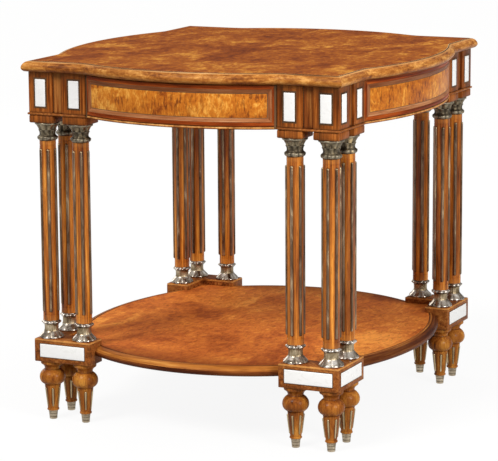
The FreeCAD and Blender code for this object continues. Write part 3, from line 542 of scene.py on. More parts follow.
# finishes of the metal
nickelLook = {
    "patch": (60, 60, 45), "grit": (420, 420, 420), "rough": (0.2, 0.38), "relief": 0.15,
    "tones": ramp(0.4, 0.72, (0.19, 0.14, 0.095), (0.40, 0.34, 0.27), (0.63, 0.56, 0.48), (0.95, 0.91, 0.85)),
    "hollowDepth": 0.62, "hollowTone": (0.0672, 0.0504, 0.0336), "wear": 0.6, "wornTone": (0.92, 0.92, 0.918),
    "bump": 0.0006, "metal": 1.0,
}
agedNickel = castFinish(
    "agedNickel", nickelLook, rough=(0.32, 0.5),
    tones=ramp(0.4, 0.72, (0.16, 0.115, 0.06), (0.36, 0.275, 0.165), (0.5, 0.4, 0.26), (0.75, 0.66, 0.5)))
pewterLook = {
    "patch": (85, 85, 70), "grit": (380, 380, 380), "rough": (0.3, 0.5), "relief": 0.3,
    "tones": ramp(0.4, 0.72, (0.067, 0.048, 0.029), (0.168, 0.132, 0.082), (0.302, 0.247, 0.16),
                  (0.616, 0.463, 0.24)),
    "hollowDepth": 0.85, "hollowTone": (0.0392, 0.0314, 0.0224), "wear": 0.55,
    "wornTone": (0.806, 0.73, 0.58), "bump": 0.0006, "metal": 1.0,
}
rodLook = dict(
    pewterLook, patch=(70, 70, 16), rough=(0.26, 0.4), relief=0.1,
    tones=ramp(0.4, 0.72, (0.0784, 0.0448, 0.0269), (0.151, 0.093, 0.056), (0.246, 0.162, 0.101),
               (0.493, 0.37, 0.224)),
    hollowTone=(0.0336, 0.0179, 0.0112), wear=0.15, wornTone=(0.45, 0.30, 0.17))
# paler pewter: a painted highlight on the rods' upper ends and a painted reflection all along the feet's rods
paintedGlintPewter = castFinish(
    "paintedGlintPewter", rodLook, hollowTone=(0.0672, 0.0448, 0.028), wornTone=(0.806, 0.762, 0.65),
    tones=ramp(0.4, 0.72, (0.19, 0.125, 0.0538), (0.314, 0.218, 0.105), (0.426, 0.314, 0.168),
               (0.627, 0.504, 0.302)))
dullBrass = castFinish(
    "dullBrass", pewterLook, patch=(70, 70, 60), rough=(0.34, 0.5), relief=0.15,
    hollowTone=(0.0896, 0.0672, 0.0392),
    tones=ramp(0.4, 0.72, (0.179, 0.129, 0.0784), (0.302, 0.23, 0.151), (0.414, 0.33, 0.23),
               (0.582, 0.493, 0.37)))
castNickel = castFinish("castNickel", nickelLook)
castPewter = castFinish("castPewter", pewterLook)
rodPewter = castFinish("rodPewter", rodLook)

# finish of the pale inlays
pearlLook = {
    "cloud": (38, 38, 60), "lines": (150, 150, 320), "spread": (0.34, 0.66),
    "tones": [(0.0, (0.862, 0.857, 0.84)), (0.45, (0.89, 0.885, 0.874)), (1.0, (0.907, 0.904, 0.896))],
    "lineBand": (0.6, 0.75), "lineDepth": 0.25, "lineTone": (0.818, 0.806, 0.79), "glossBand": (0.35, 0.65),
    "rough": (0.24, 0.4), "relief": 0.06, "bump": 0.0003, "shine": 0.35,
}
pearlInlay = pearlFinish("pearlInlay", pearlLook)
print("finishes ready:", len(bpy.data.materials))

# the table top: its slab keeps the solid, its rounded lipping gets a quirk, a thumb moulding and mitres
# the lipping carries painted light: its fine pale line and the top of its thumb moulding are painted
# highlight, its quirk a dark painted shadow, and its lower half is painted shade
nosing = {
    "profile": [
        (22, 694.2), (22, 715), (14.3, 715), (13.3, 715), (12.9, 714.3), (12.3, 714.0), (11.6, 714.3),
        (9.4, 713.9), (7.2, 713.0), (5.2, 711.6), (3.4, 709.7), (1.9, 707.4), (0.8, 704.9), (0.3, 702.6),
        (0.5, 700.4), (1.4, 698.4), (2.8, 696.6), (4.6, 695.2), (6.8, 694.4), (9, 694.2)],
    "finishes": {1: 2, 2: 1, 3: 4, 4: 4, 5: 4, 6: 3, 7: 3},
    "hollow": 55, "overhang": 13, "straightSteps": 5, "hollowSteps": 10, "bowSteps": 40,
    "shadeTop": 701, "shadeReach": 9, "shadeMost": 0.65, "grainStep": (900, 70),
}


def topEdge(side, inset):
    bow = bowedSides[side]
    hollow = nosing["hollow"]
    reach = bow["radius"] + nosing["overhang"]
    rise = bow["straight"] + hollow + bow["centre"]
    start = math.sqrt((hollow + reach) ** 2 - rise ** 2)
    line = bow["straight"] - inset
    end = bow["corner"] - inset
    steps = nosing["straightSteps"]
    right = [(end + (start - end) * k / steps, line) for k in range(steps)]
    last = math.atan2(-rise, -start)
    scoop = hollow + inset
    for k in range(nosing["hollowSteps"]):
        angle = -quarter + (last + quarter) * k / nosing["hollowSteps"]
        right.append((start + scoop * math.cos(angle), bow["straight"] + hollow + scoop * math.sin(angle)))
    opening = math.atan2(start, rise)
    sweep = [opening - 2 * opening * k / nosing["bowSteps"] for k in range(nosing["bowSteps"] + 1)]
    arc = [((reach - inset) * math.sin(a), (reach - inset) * math.cos(a) - bow["centre"]) for a in sweep]
    left = [(-along, out) for along, out in reversed(right)]
    return right + arc + left


def lengthsOf(path):
    total = [0]
    for first, second in zip(path, path[1:]):
        total.append(total[-1] + math.dist(first, second))
    return total


def nosingShade(level):
    return max(0, min(nosing["shadeMost"], (nosing["shadeTop"] - level) / nosing["shadeReach"]))


topLipping = newForm()
lipShade = [nosingShade(level) for inset, level in nosing["profile"]]
for side in range(4):
    runs = [topEdge(side, inset) for inset, level in nosing["profile"]]
    alongStep, acrossStep = [side * step for step in nosing["grainStep"]]
    rows, places = [], []
    for k, length in enumerate(lengthsOf(runs[0])):
        rows.append([(*onSide(side, *run[k]), level) for run, (inset, level) in zip(runs, nosing["profile"])])
        places.append([(length + alongStep, inset + acrossStep, level) for inset, level in nosing["profile"]])
    addRings(topLipping, rows, places, hollow=[lipShade] * len(rows),
             finishOf=lambda r, k: nosing["finishes"].get(k, 0))
finishPiece("topLipping", topLipping, [lipVeneer, paintedHighlightLine, topVeneer, paintedHighlightEdge, darkLine], "table",
            "edge_mahogany", "top_nosing")
dress(topVeneer, "top_slab")
print("top ready")

# friezes and drawer front: a bowed rail with a half-round bead, a burr panel and lines round it
# the bead's front faces take a painted highlight, its upper face and the quirk above it a dark painted shadow
# line
railing = {
    "low": 610, "beadTop": 615, "beadReach": 2.5, "beadSteps": 8, "top": 694, "ease": 0.5, "back": -20,
    "steps": 44, "grainStep": 510, "quirk": [(-0.5, 0.1), (-0.5, 0.6), (0, 0.9)],
    "finishes": {3: 1, 4: 2, 5: 2, 6: 1, 7: 3, 8: 3, 9: 3},
}
panel = {
    "low": 632, "top": 676.5, "endMargin": 17, "stand": 0.2, "edgeStand": 0.05, "ease": 0.4, "back": -1.6,
    "lineWidth": 1.2, "lineStand": 0.12, "lineBack": -0.8, "beadWidth": 7.0, "beadStands": (2.1, 0.5),
    "frameStands": (1.5, 1.5), "frameGap": 1.0, "sideInset": 0.4, "ceiling": 693.4,
}
member = {"back": -0.6, "ease": 0.4, "fillet": 0.6, "sag": 0.36, "stileSteps": 6, "railSteps": 44,
          "stileGrain": 170, "railGrain": 620}
drawerFace = {"half": 200.2, "top": 693, "frameHalf": 199.8, "ceiling": 692.4, "ends": (196.8, 200.1),
              "endShadowBars": [(1.65, 614.5, 692.3), (2.6, 610.4, 614.7)]}


def bowPoint(side, along, offset, level):
    bow = bowedSides[side]
    out = math.sqrt((bow["radius"] + offset) ** 2 - along ** 2) - bow["centre"]
    return (*onSide(side, along, out), level)


def addBowed(form, side, low, high, section, steps, upright, finishOf=oneFinish):
    rows, places = [], []
    for k in range(steps + 1):
        along = low + (high - low) * k / steps
        laid = along + side * railing["grainStep"]
        rows.append([bowPoint(side, along, offset, level) for offset, level in section])
        places.append([(level, laid, offset) if upright else (laid, level, offset)
                       for offset, level in section])
    addRings(form, rows, places, finishOf=finishOf)


def addRail(form, side, half, top):
    low, beadTop, reach = railing["low"], railing["beadTop"], railing["beadReach"]
    back, ease = railing["back"], railing["ease"]
    middle = (low + beadTop) / 2
    steps = railing["beadSteps"]
    angles = [math.radians(-90 + 180 / steps * k) for k in range(steps + 1)]
    section = [(reach * math.cos(a), middle + reach * math.sin(a)) for a in angles]
    section += [(offset, beadTop + rise) for offset, rise in railing["quirk"]]
    section += [(0, top - ease), (-ease, top), (back, top), (back, low)]
    addBowed(form, side, -half, half, section, railing["steps"], True,
             finishOf=lambda r, k: railing["finishes"].get(k, 0))


def addMember(form, side, upright, inner, outer, innerEnds, outerEnds, stands):
    # a stile or rail of a frame with mitred ends, across from an inner to an outer place
    back, ease = member["back"], member["ease"]
    outerStand, innerStand = stands
    step = 1 if outer > inner else -1
    sag = innerStand + (outerStand - innerStand) * member["sag"]
    section = [(outer, back), (outer, outerStand - ease), (outer - ease * step, outerStand),
               ((inner + outer) / 2, sag), (inner + member["fillet"] * step, innerStand),
               (inner, innerStand - ease), (inner, back)]
    steps = member["stileSteps" if upright else "railSteps"]
    rows, places = [], []
    for k in range(steps + 1):
        row, place = [], []
        for across, offset in section:
            share = (across - inner) / (outer - inner)
            first, last = [a + (b - a) * share for a, b in zip(innerEnds, outerEnds)]
            length = first + (last - first) * k / steps
            if upright:
                row.append(bowPoint(side, across, offset, length))
                place.append((length, across + side * member["stileGrain"], offset))
            else:
                row.append(bowPoint(side, length, offset, across))
                place.append((length + side * member["railGrain"], across, offset))
        rows.append(row)
        places.append(place)
    addRings(form, rows, places)


def addLine(form, side, left, right, low, top, stand, upright):
    back = panel["lineBack"]
    section = [(back, low), (stand, low), (stand, top), (back, top)]
    addBowed(form, side, left, right, section, 1 if upright else railing["steps"], upright)


def addPanel(forms, side, outerHalf, ceiling):
    # a burr panel, the dark line round it, its sloping moulding and the frame
    panelForm, lineForm, beadForm, frameForm = forms
    half = bowedSides[side]["half"] - panel["endMargin"]
    low, top, stand, ease = panel["low"], panel["top"], panel["stand"], panel["ease"]
    edge, back = panel["edgeStand"], panel["back"]
    section = [(back, low), (edge, low), (stand, low + ease), (stand, top - ease), (edge, top), (back, top)]
    addBowed(panelForm, side, -half, half, section, railing["steps"], False)
    wide, lineStand = panel["lineWidth"], panel["lineStand"]
    for bottom, head in ((low - wide, low), (top, top + wide)):
        addLine(lineForm, side, -half - wide, half + wide, bottom, head, lineStand, False)
    for left, right in ((-half - wide, -half), (half, half + wide)):
        addLine(lineForm, side, left, right, low, top, lineStand, True)
    full = wide + panel["beadWidth"]
    lineEnds, beadEnds = (low - wide, top + wide), (low - full, top + full)
    frameEnds = (railing["beadTop"] + panel["frameGap"], ceiling)
    for strip, near, far, nearEnds, farEnds, stands in (
            (beadForm, half + wide, half + full, lineEnds, beadEnds, panel["beadStands"]),
            (frameForm, half + full, outerHalf, beadEnds, frameEnds, panel["frameStands"])):
        for inner, outer in zip(nearEnds, farEnds):
            addMember(strip, side, False, inner, outer, (-near, near), (-far, far), stands)
        for sign in (-1, 1):
            addMember(strip, side, True, sign * near, sign * far, nearEnds, farEnds, stands)


def finishPanels(forms, names, body, node):
    finishPiece(names[0], forms[0], [burrVeneer], body, "burr_veneer", node)
    finishPiece(names[1], forms[1], [darkLine], body, "banding_mahogany")
    finishPiece(names[2], forms[2], [paleBead], body, "banding_mahogany", sharp=50)
    finishPiece(names[3], forms[3], [frameMahogany], body, "banding_mahogany")


railSet = [bandingMahogany, edgeMahogany, paintedHighlightEdge, darkLine]
friezeSides = {1: "right", 2: "back", 3: "left"}
friezeForms = [newForm() for part in range(4)]
for side, name in friezeSides.items():
    rail = newForm()
    addRail(rail, side, bowedSides[side]["half"], railing["top"])
    finishPiece("friezeRail_" + name, rail, railSet, "table", "banding_mahogany", "frieze_" + name)
    addPanel(friezeForms, side, bowedSides[side]["half"] - panel["sideInset"], panel["ceiling"])
friezeNames = ["friezeBurrPanels", "friezePanelLines", "friezePanelBeads", "friezePanelFrames"]
finishPanels(friezeForms, friezeNames, "table", "frieze_panels")

drawerRail = newForm()
addRail(drawerRail, 0, drawerFace["half"], drawerFace["top"])
finishPiece("drawerFrontRail", drawerRail, railSet, "drawer", "banding_mahogany", "drawer_front")
drawerForms = [newForm() for part in range(4)]
addPanel(drawerForms, 0, drawerFace["frameHalf"], drawerFace["ceiling"])
# dark painted shadow strips in the gaps at the ends of the drawer front
near, far = drawerFace["ends"]
for stand, low, top in drawerFace["endShadowBars"]:
    addLine(drawerForms[1], 0, near, far, low, top, stand, True)
    addLine(drawerForms[1], 0, -far, -near, low, top, stand, True)
drawerNames = ["drawerBurrPanel", "drawerPanelLines", "drawerPanelBead", "drawerPanelFrame"]
finishPanels(drawerForms, drawerNames, "drawer", "drawer_panel")
print("friezes and drawer front ready")

# frieze corners: three dies with recessed links, a bead below, pale tablets in dark lines, and dark painted
# shadow lines where the links meet the dies
die = {
    "middle": 654.5, "tabletMiddle": 653.5, "sunk": 20.5, "near": 47.8, "far": 98.8, "ease": 0.8,
    "plainFaces": (8, 35), "grainStep": (130, 210),
    "levels": [(0.8, 615), (0, 615.7), (0, 619.5), (0, 641), (0, 668), (0, 685), (0, 693.3), (0.8, 694)],
}
dieTablet = {"width": 22, "height": 53, "border": 3.5}
linkShadowLine = {"width": 1.6, "height": 77.4, "levels": [(0, -0.6), (0, 0.2), (0.2, 0.35)], "ease": 0.2}
bead = {
    "levels": [(2.6, 610), (1.0, 610.5), (0.2, 611.5), (0, 612.5), (0.2, 613.5), (1.0, 614.5), (2.6, 615)],
    "overhang": 2.5, "ease": 0.6, "grainStep": 330,
}


def dieLoop():
    h, s, n, f = plan["dieHalf"], die["sunk"], die["near"], die["far"]
    return [(h, -h), (h, h), (s, h), (s, n), (h, n), (h, f), (-h, f), (-h, h), (-f, h), (-f, -h), (-n, -h),
            (-n, -s), (-h, -s), (-h, -h)]


def armLoop(half, far, outward):
    return [(outward, -outward), (outward, far), (-half, far), (-half, half), (-far, half), (-far, -outward)]


def facePlace(corner, face, along, level, half):
    # a tablet's middle on the front or side face of a corner group, and its right, up and outward directions
    if face == "front":
        middle, right, out = (along, -half), (1, 0), (0, -1)
    else:
        middle, right, out = (half, along), (0, 1), (1, 0)
    right, out = quarterTurned(corner, *right), quarterTurned(corner, *out)
    return (*atCorner(corner, *middle), level), (*right, 0), (0, 0, 1), (*out, 0)


dieFaces = [("front", 0), ("front", -plan["pitch"]), ("side", 0), ("side", plan["pitch"])]
linkEnds = (die["near"] - linkShadowLine["width"] / 2, plan["dieHalf"] + linkShadowLine["width"] / 2)
tablets = newForm()
tabletLines = newForm()
beads = newForm()
for corner, name in corners:
    block = newForm()
    upStep, acrossStep = [corner * step for step in die["grainStep"]]
    addPrism(block, dieLoop(), die["levels"], die["ease"], corner,
             lambda x, y, z: (z + upStep, x + acrossStep, y),
             finishOf=lambda r, k: 1 if k in die["plainFaces"] else 0)
    finishPiece("frieze_corner_" + name, block, [bandingMahogany, plainMahogany], "table", "banding_mahogany",
                "corner_block_" + name)
    loop = armLoop(plan["dieHalf"], die["far"], plan["dieHalf"] + bead["overhang"])
    addPrism(beads, loop, bead["levels"], bead["ease"], corner,
             lambda x, y, z: (x + y + corner * bead["grainStep"], x - y, z))
    for face, along in dieFaces:
        spot = facePlace(corner, face, along, die["tabletMiddle"], plan["dieHalf"])
        addInlay(tablets, tabletLines, spot, **dieTablet)
    # dark painted shadow lines at both sides of each recessed link
    for face, sign in (("front", -1), ("side", 1)):
        for along in linkEnds:
            spot = facePlace(corner, face, sign * along, die["middle"], die["sunk"])
            addTablet(tabletLines, *spot, **linkShadowLine)
finishPiece("cornerBeads", beads, [plainMahogany], "table", "edge_mahogany", "corner_beads")
finishPiece("dieTablets", tablets, [pearlInlay], "table", "pearl_inlay", "die_inlays")
finishPiece("dieTabletLines", tabletLines, [darkLine], "table", "banding_mahogany")
print("frieze corners ready")

# plinths: L-shaped blocks with a paler rounded upper edge and long tablets
plinth = {
    "far": 98.3, "ease": 0.8, "paleRows": (7, 8, 9, 10), "grainStep": 270, "middle": 143,
    "levels": [(1.0, 120), (0.2, 120.5), (0, 121.4), (0, 128.5), (0, 151), (0, 161.8), (0.5, 162),
               (0.5, 162.3), (0, 162.6), (0, 164.4), (0.5, 165.4), (1.6, 166)],
}
plinthTablet = {"width": 98.3, "height": 26, "border": 1.5}
longTablets = newForm()
longLines = newForm()
for corner, name in corners:
    block = newForm()
    loop = armLoop(plan["plinthHalf"], plinth["far"], plan["plinthHalf"])
    addPrism(block, loop, plinth["levels"], plinth["ease"], corner,
             lambda x, y, z: (x - y + corner * plinth["grainStep"], z, x + y),
             finishOf=lambda r, k: 1 if r in plinth["paleRows"] else 0)
    finishPiece("plinth_block_" + name, block, [plainMahogany, edgeMahogany], "table", "banding_mahogany",
                "plinth_" + name)
    for face, along in (("front", -plan["pitch"] / 2), ("side", plan["pitch"] / 2)):
        spot = facePlace(corner, face, along, plinth["middle"], plan["plinthHalf"])
        addInlay(longTablets, longLines, spot, **plinthTablet)
finishPiece("plinthTablets", longTablets, [pearlInlay], "table", "pearl_inlay", "plinth_inlays")
finishPiece("plinthTabletLines", longLines, [darkLine], "table", "banding_mahogany")
print("plinths ready")

# shelf: figured field, moulded bowed edges with a quirk line, let in round the plinths
board = {
    "frontEnds": (201.7, 327, 59, 275, 299, 225.7), "sideEnds": (225.7, 303, 49, 299, 275, 201.7),
    "bowSteps": 44, "slope": 7, "rim": 12, "field": 17, "fieldInset": 18.4, "fieldSlip": 0.03,
    "grainShift": 40,
    "profile": [
        (10, 135), (7.0, 135.1), (4.4, 135.8), (2.4, 137.0), (1.0, 138.8), (0.2, 141.0), (0, 143.2),
        (0.6, 145.8), (1.9, 148.2), (3.9, 150.3), (6.4, 151.9), (9.2, 153.0), (12.2, 153.7), (15.4, 154),
        (16.0, 153.2), (17.2, 153.1), (17.8, 154), (18.4, 154), (40, 154), (75, 154), (120, 154)],
}
shelfPaintedShade = {"field": (17, 115, 0.95), "under": (146, 11, 0.75), "side": (153.6, 2.5, 0.7)}


def shelfEdge(inset):
    loop = []
    within = max(0, inset - board["fieldInset"])
    slip = within * board["fieldSlip"]
    for side in range(4):
        end, edge, rise, innerAlong, innerOut, nextEnd = board["sideEnds" if side % 2 else "frontEnds"]
        radius = (end ** 2 + rise ** 2) / (2 * rise)
        centre = radius - edge - rise
        for k in range(board["bowSteps"] + 1):
            along = -end + 2 * end * k / board["bowSteps"]
            deep = inset - within * (along / end) ** 2 + slip
            loop.append(onSide(side, along, math.sqrt((radius - deep) ** 2 - along ** 2) - centre))
        loop.append(onSide(side, end, innerOut - slip))
        loop.append(onSide(side, innerAlong - slip, innerOut - slip))
        loop.append(onSide((side + 1) % 4, -nextEnd, innerAlong - slip))
    return loop


def shelfShade(side, inset, level):
    # painted shade below and on the side edges below their rims; front and back fields darken outwards
    fieldStart, fieldReach, fieldDepth = shelfPaintedShade["field"]
    underTop, underReach, underDepth = shelfPaintedShade["under"]
    sideTop, sideReach, sideDepth = shelfPaintedShade["side"]
    if inset > fieldStart:
        return 0 if side % 2 else max(0, fieldDepth * (1 - inset / fieldReach))
    under = max(0, min(underDepth, (underTop - level) / underReach))
    return max(under, sideDepth * min(1, max(0, (sideTop - level) / sideReach))) if side % 2 else under


def shelfFinish(row, k):
    # veneered field; a painted sheen makes the sloped edge paler in front and behind, and along the rim of
    # the sides
    if row >= board["field"]:
        return 0
    first = board["rim"] if k // perSide % 2 else board["slope"]
    return 2 if first <= row <= board["rim"] else 1


shelf = newForm()
shelfRows = [[(*spot, level) for spot in shelfEdge(inset)] for inset, level in board["profile"]]
shelfRun = lengthsOf([p[:2] for p in shelfRows[0]])
perSide = len(shelfRun) // 4
shelfPlaces = []
shelfShades = []
for inset, level in board["profile"]:
    shelfPlaces.append([(run, inset + board["grainShift"], level) for run in shelfRun])
    shelfShades.append([shelfShade(k // perSide, inset, level) for k in range(len(shelfRun))])
shelfPlaces[board["field"]:] = shelfRows[board["field"]:]
addRings(shelf, shelfRows, shelfPlaces, ends=False, hollow=shelfShades, finishOf=shelfFinish)
for row in (0, len(shelfRows) - 1):
    addFace(shelf, [row * len(shelfRun) + k for k in range(len(shelfRun))], 0, shelfRows[row])
finishPiece("bowedShelf", shelf, [shelfVeneer, plainMahogany, edgeMahogany], "table", "figured_mahogany",
            "shelf")
print("shelf ready")

# columns: turned shafts with scribed necks, and rods laid along them and along the feet
rodRun = {"low": (16, 219), "top": (16, 542.5), "radii": (2.8, 2.8), "around": 12, "finish": 0}
# the feet's rods take the paler finish all along, as a painted reflection
footRod = {"low": (11.43, 27), "top": (15.47, 65.5), "radii": (1.4, 2.1), "around": 10, "finish": 1}
rodding = {"count": 6, "domeSteps": 4, "between": (0.3, 0.5, 0.7), "shade": 0.9, "shadeSlope": 1.6,
           "shadeEdge": 0.35, "spacing": 60, "woodFade": 7.5}
shaft = {
    "low": 0, "around": 48, "shift": (97, 41), "turn": -1, "shadeReach": 17,
    "profile": [
        (15.2, 201), (16, 201.6), (16, 212), (15.6, 212.5), (15.6, 213.1), (16, 213.6), (16, 217.5),
        (16, 220.5), (16, 290), (16, 378), (16, 466), (16, 541), (16, 544), (16, 547.9), (15.6, 548.4),
        (15.6, 549), (16, 549.5), (16, 557.9), (15.2, 558.5)],
}


def besideRod(profile, low, top, reach):
    # painted shade on the wood close to each rod of a shaft or a foot
    def wave(step, angle):
        if not low < profile[step][1] < top:
            return 1, 0
        half = rodding["spacing"] / 2
        away = abs((math.degrees(angle) + half) % rodding["spacing"] - half)
        return 1, max(0, min(1, (reach - away) / rodding["woodFade"]))
    return wave


shaftWave = besideRod(shaft["profile"], rodRun["low"][1], rodRun["top"][1], shaft["shadeReach"])
for corner, name in corners:
    for index, spot in enumerate(plan["spotNames"]):
        column = newForm()
        addSpot(column, corner, index, shaft, shaftWave)
        finishPiece("columnShaft_%s_%s" % (name, spot), column, [turnedMahogany], "table", "turned_mahogany",
                    "column_%s_%s" % (name, spot))


def addRod(form, x, y, angle, rod):
    # a round bar with domed ends between (out, level) at each end; painted shade on its side towards the
    # wood, and its upper end pale as a painted highlight
    lowRadius, topRadius = rod["radii"]
    around, domeSteps = rod["around"], rodding["domeSteps"]
    (lowOut, lowLevel), (topOut, topLevel) = rod["low"], rod["top"]
    full = topLevel - lowLevel
    dome = [quarter * k / domeSteps for k in range(1, domeSteps + 1)]
    steps = [(lowRadius * (1 - math.cos(a)) / full, lowRadius * math.sin(a)) for a in dome]
    steps += [(share, lowRadius + (topRadius - lowRadius) * share) for share in rodding["between"]]
    steps += [(1 - topRadius * (1 - math.cos(a)) / full, topRadius * math.sin(a)) for a in reversed(dome)]
    rows, depths = [], []
    for share, radius in steps:
        out = lowOut + (topOut - lowOut) * share
        row, deep = [], []
        for k in range(around):
            a = circle * k / around
            p, q = out + radius * math.cos(a), radius * math.sin(a)
            row.append((x + p * math.cos(angle) - q * math.sin(angle),
                        y + p * math.sin(angle) + q * math.cos(angle), lowLevel + full * share))
            facing = max(0, math.cos(a) + rodding["shadeEdge"])
            deep.append(max(0, rodding["shade"] - rodding["shadeSlope"] * facing))
        rows.append(row)
        depths.append(deep)
    pale = len(rows) - domeSteps
    addRings(form, rows, hollow=depths, finishOf=lambda r, k: 1 if r >= pale else rod["finish"])


rods = newForm()
for corner, name in corners:
    for spot in plan["spots"]:
        for k in range(rodding["count"]):
            angle = circle * k / rodding["count"] + quarter * (corner - 1)
            for rod in (rodRun, footRod):
                addRod(rods, *atCorner(corner, *spot), angle, rod)
finishPiece("appliedRods", rods, [rodPewter, paintedGlintPewter], "table", "patinated_pewter", "applied_rods",
            sharp=60)
print("columns and rods ready")

# cast bases: petalled foot, ribbed waist and a ring of lobes
castBase = {
    "low": 166, "around": 96, "shift": (0, 0), "turn": 0, "petals": 8, "lobes": 8, "agedRows": range(11, 19),
    "tops": (13, 28.6, 34.1), "cuts": (0.085, 0.03, 0.13), "skirtFade": 17, "neckLow": 28,
    "profile": [
        (9, 0), (23.6, 0), (24.4, 0.5), (24.8, 1.6), (24.5, 2.9), (23.6, 4.2), (22.2, 5.6), (20.6, 7.2),
        (18.9, 8.9), (17.2, 10.6), (15.8, 12.2), (14.8, 13.6), (14.2, 15.2), (13.9, 17.2), (13.8, 19.5),
        (13.8, 22), (14, 24.4), (14.5, 26.4), (15.6, 27.8), (16.9, 28.4), (16.4, 28.9), (17.8, 29.4),
        (19, 30.2), (19.6, 31.3), (19.4, 32.4), (18.6, 33.3), (17.3, 33.9), (16.5, 34.3), (16.4, 34.8),
        (16, 35), (9, 35)],
}


def baseWave(step, angle):
    level = castBase["profile"][step][1]
    skirtTop, waistTop, ringTop = castBase["tops"]
    petalCut, ribCut, lobeCut = castBase["cuts"]
    petal = 1 - abs(math.cos(castBase["petals"] * angle / 2))
    lobe = 1 - abs(math.sin(castBase["lobes"] * angle / 2))
    rib = 1 - abs(math.cos(castBase["petals"] * angle))
    if step in (0, len(castBase["profile"]) - 1):
        return 1, 0
    if level < skirtTop:
        return 1 - petalCut * (1 - level / castBase["skirtFade"]) * petal ** 1.2, min(1, petal ** 2.6)
    if level < waistTop:
        return 1 - ribCut * rib, 0.15 + 0.3 * rib + (0.5 if level > castBase["neckLow"] else 0)
    if level < ringTop:
        return 1 - lobeCut * lobe ** 1.2, min(1, 1.1 * lobe ** 2.4)
    return 1, 0.4


turnedGroups("castBases_", "column_bases_", castBase, baseWave, [castNickel, agedNickel], "polished_nickel",
             50, finishOf=lambda r, k: 1 if r in castBase["agedRows"] else 0)

# cast capitals: leafy ring at the shaft, waist with ribs, flared rim with leaf tips
capital = {
    "low": 558.5, "around": 96, "shift": (0, 0), "turn": 0, "leaves": 8, "tops": (9, 21.2, 31.5, 34),
    "cuts": (0.06, 0.16, 0.13), "fineCuts": (0.02, 0.025), "waistFade": 9,
    "profile": [
        (9, 0), (16.0, 0), (17.0, 0.6), (18.8, 1.7), (20.0, 3.2), (20.5, 5.0), (20.3, 6.8), (19.3, 8.2),
        (17.8, 9.2), (16.6, 10.2), (16.0, 11.6), (15.8, 13.6), (16.1, 15.8), (16.9, 18.0), (17.9, 19.8),
        (18.3, 20.8), (17.6, 21.4), (18.0, 23.0), (19.0, 25.2), (20.3, 27.4), (21.5, 29.4), (22.6, 31.0),
        (23.0, 31.8), (24.2, 32.3), (24.4, 33.6), (24.3, 35.2), (23.6, 36), (9, 36)],
}


def capitalWave(step, angle):
    level = capital["profile"][step][1]
    ringTop, waistTop, flareTop, rimMiddle = capital["tops"]
    ringCut, waistCut, flareCut = capital["cuts"]
    fineCut, waistFineCut = capital["fineCuts"]
    leaf = 1 - abs(math.cos(capital["leaves"] * angle / 2))
    between = 1 - abs(math.sin(capital["leaves"] * angle / 2))
    fine = abs(math.cos(capital["leaves"] * 2 * angle))
    if step in (0, len(capital["profile"]) - 1):
        return 1, 0
    if level < ringTop:
        return 1 - ringCut * between ** 1.2 - fineCut * fine, min(1, 0.3 + 0.7 * between ** 1.8)
    if level > flareTop:
        return 1, 0.35 if level < rimMiddle else 0.1
    if level < waistTop:
        lift = waistCut * min(1, (level - ringTop) / capital["waistFade"])
        return 1 - lift * between - waistFineCut * fine, min(1, 0.3 + 0.7 * between + 0.2 * fine)
    return 1 - flareCut * leaf ** 1.1 - fineCut * fine, min(1, 0.65 * leaf ** 1.3 + 0.1 * fine)


turnedGroups("castCapitals_", "capitals_", capital, capitalWave, [castPewter], "patinated_pewter", 50)
print("castings ready")

# abaci: square blocks with eased edges between capital and bead
abacus = {
    "half": 25.5, "ease": 0.9, "grainStep": (190, 150), "spotGrain": 3,
    "levels": [(2.0, 594.5), (0.7, 595.1), (0, 596.3), (0, 600), (0, 607.8), (0.4, 608.6), (0.9, 610)],
}
for corner, name in corners:
    blocks = newForm()
    h = abacus["half"]
    upStep, acrossStep = [corner * step for step in abacus["grainStep"]]
    for dx, dy in plan["spots"]:
        square = [(dx + h, dy - h), (dx + h, dy + h), (dx - h, dy + h), (dx - h, dy - h)]
        addPrism(blocks, square, abacus["levels"], abacus["ease"], corner,
                 lambda x, y, z: (z + dx * abacus["spotGrain"] + upStep, x + acrossStep, y))
    finishPiece("abacusBlocks_" + name, blocks, [bandingMahogany], "table", "turned_mahogany",
                "abaci_" + name)

# feet: flared collar, gadrooned ball, tapered leg and ring; ferrules with turned lines
foot = {
    "low": 0, "around": 72, "shift": (53, 29), "turn": -1, "gadroons": 16, "gadroonCut": 0.005,
    "ball": (72, 102, 71.5, 31), "creaseShadeLevels": (71.0, 102.0, 103.0), "creaseShadeDepth": 0.7,
    "rodShade": (26.5, 66, 16),
    "profile": [
        (6, 17.5), (11.0, 18), (11.8, 18.7), (12, 20), (11.8, 21.3), (11.0, 22), (10.7, 22.4), (10.9, 23),
        (11.3, 26), (12.0, 33.5), (13.0, 43), (14.0, 52), (15.0, 61), (15.6, 67), (16.0, 70.2), (15.3, 71.0),
        (16.4, 71.6), (19.2, 73.2), (22.0, 75.6), (24.1, 78.6), (25.3, 82), (25.7, 85.6), (25.4, 89.2),
        (24.4, 92.6), (22.6, 95.8), (20.2, 98.6), (17.6, 100.8), (15.8, 102.0), (15.2, 103.0), (15.2, 104.4),
        (15.7, 106.4), (16.7, 108.6), (18.4, 110.6), (20.4, 112.2), (21.8, 113.0), (22.6, 114.0),
        (22.8, 116.6), (22.7, 119.2), (22.2, 120), (8, 120)],
}
footShade = besideRod(foot["profile"], *foot["rodShade"])


def footWave(step, angle):
    level = foot["profile"][step][1]
    ballLow, ballTop, liftStart, liftSpan = foot["ball"]
    if ballLow < level < ballTop:
        lift = math.sin(math.pi * (level - liftStart) / liftSpan)
        ridge = abs(math.cos(foot["gadroons"] * angle / 2))
        return 1 - foot["gadroonCut"] * lift * (1 - ridge), 0
    # painted shade in the creases above and below the ball
    if level in foot["creaseShadeLevels"]:
        return 1, foot["creaseShadeDepth"]
    return footShade(step, angle)


turnedGroups("turnedFeet_", "feet_", foot, footWave, [footMahogany], "turned_mahogany", 35)

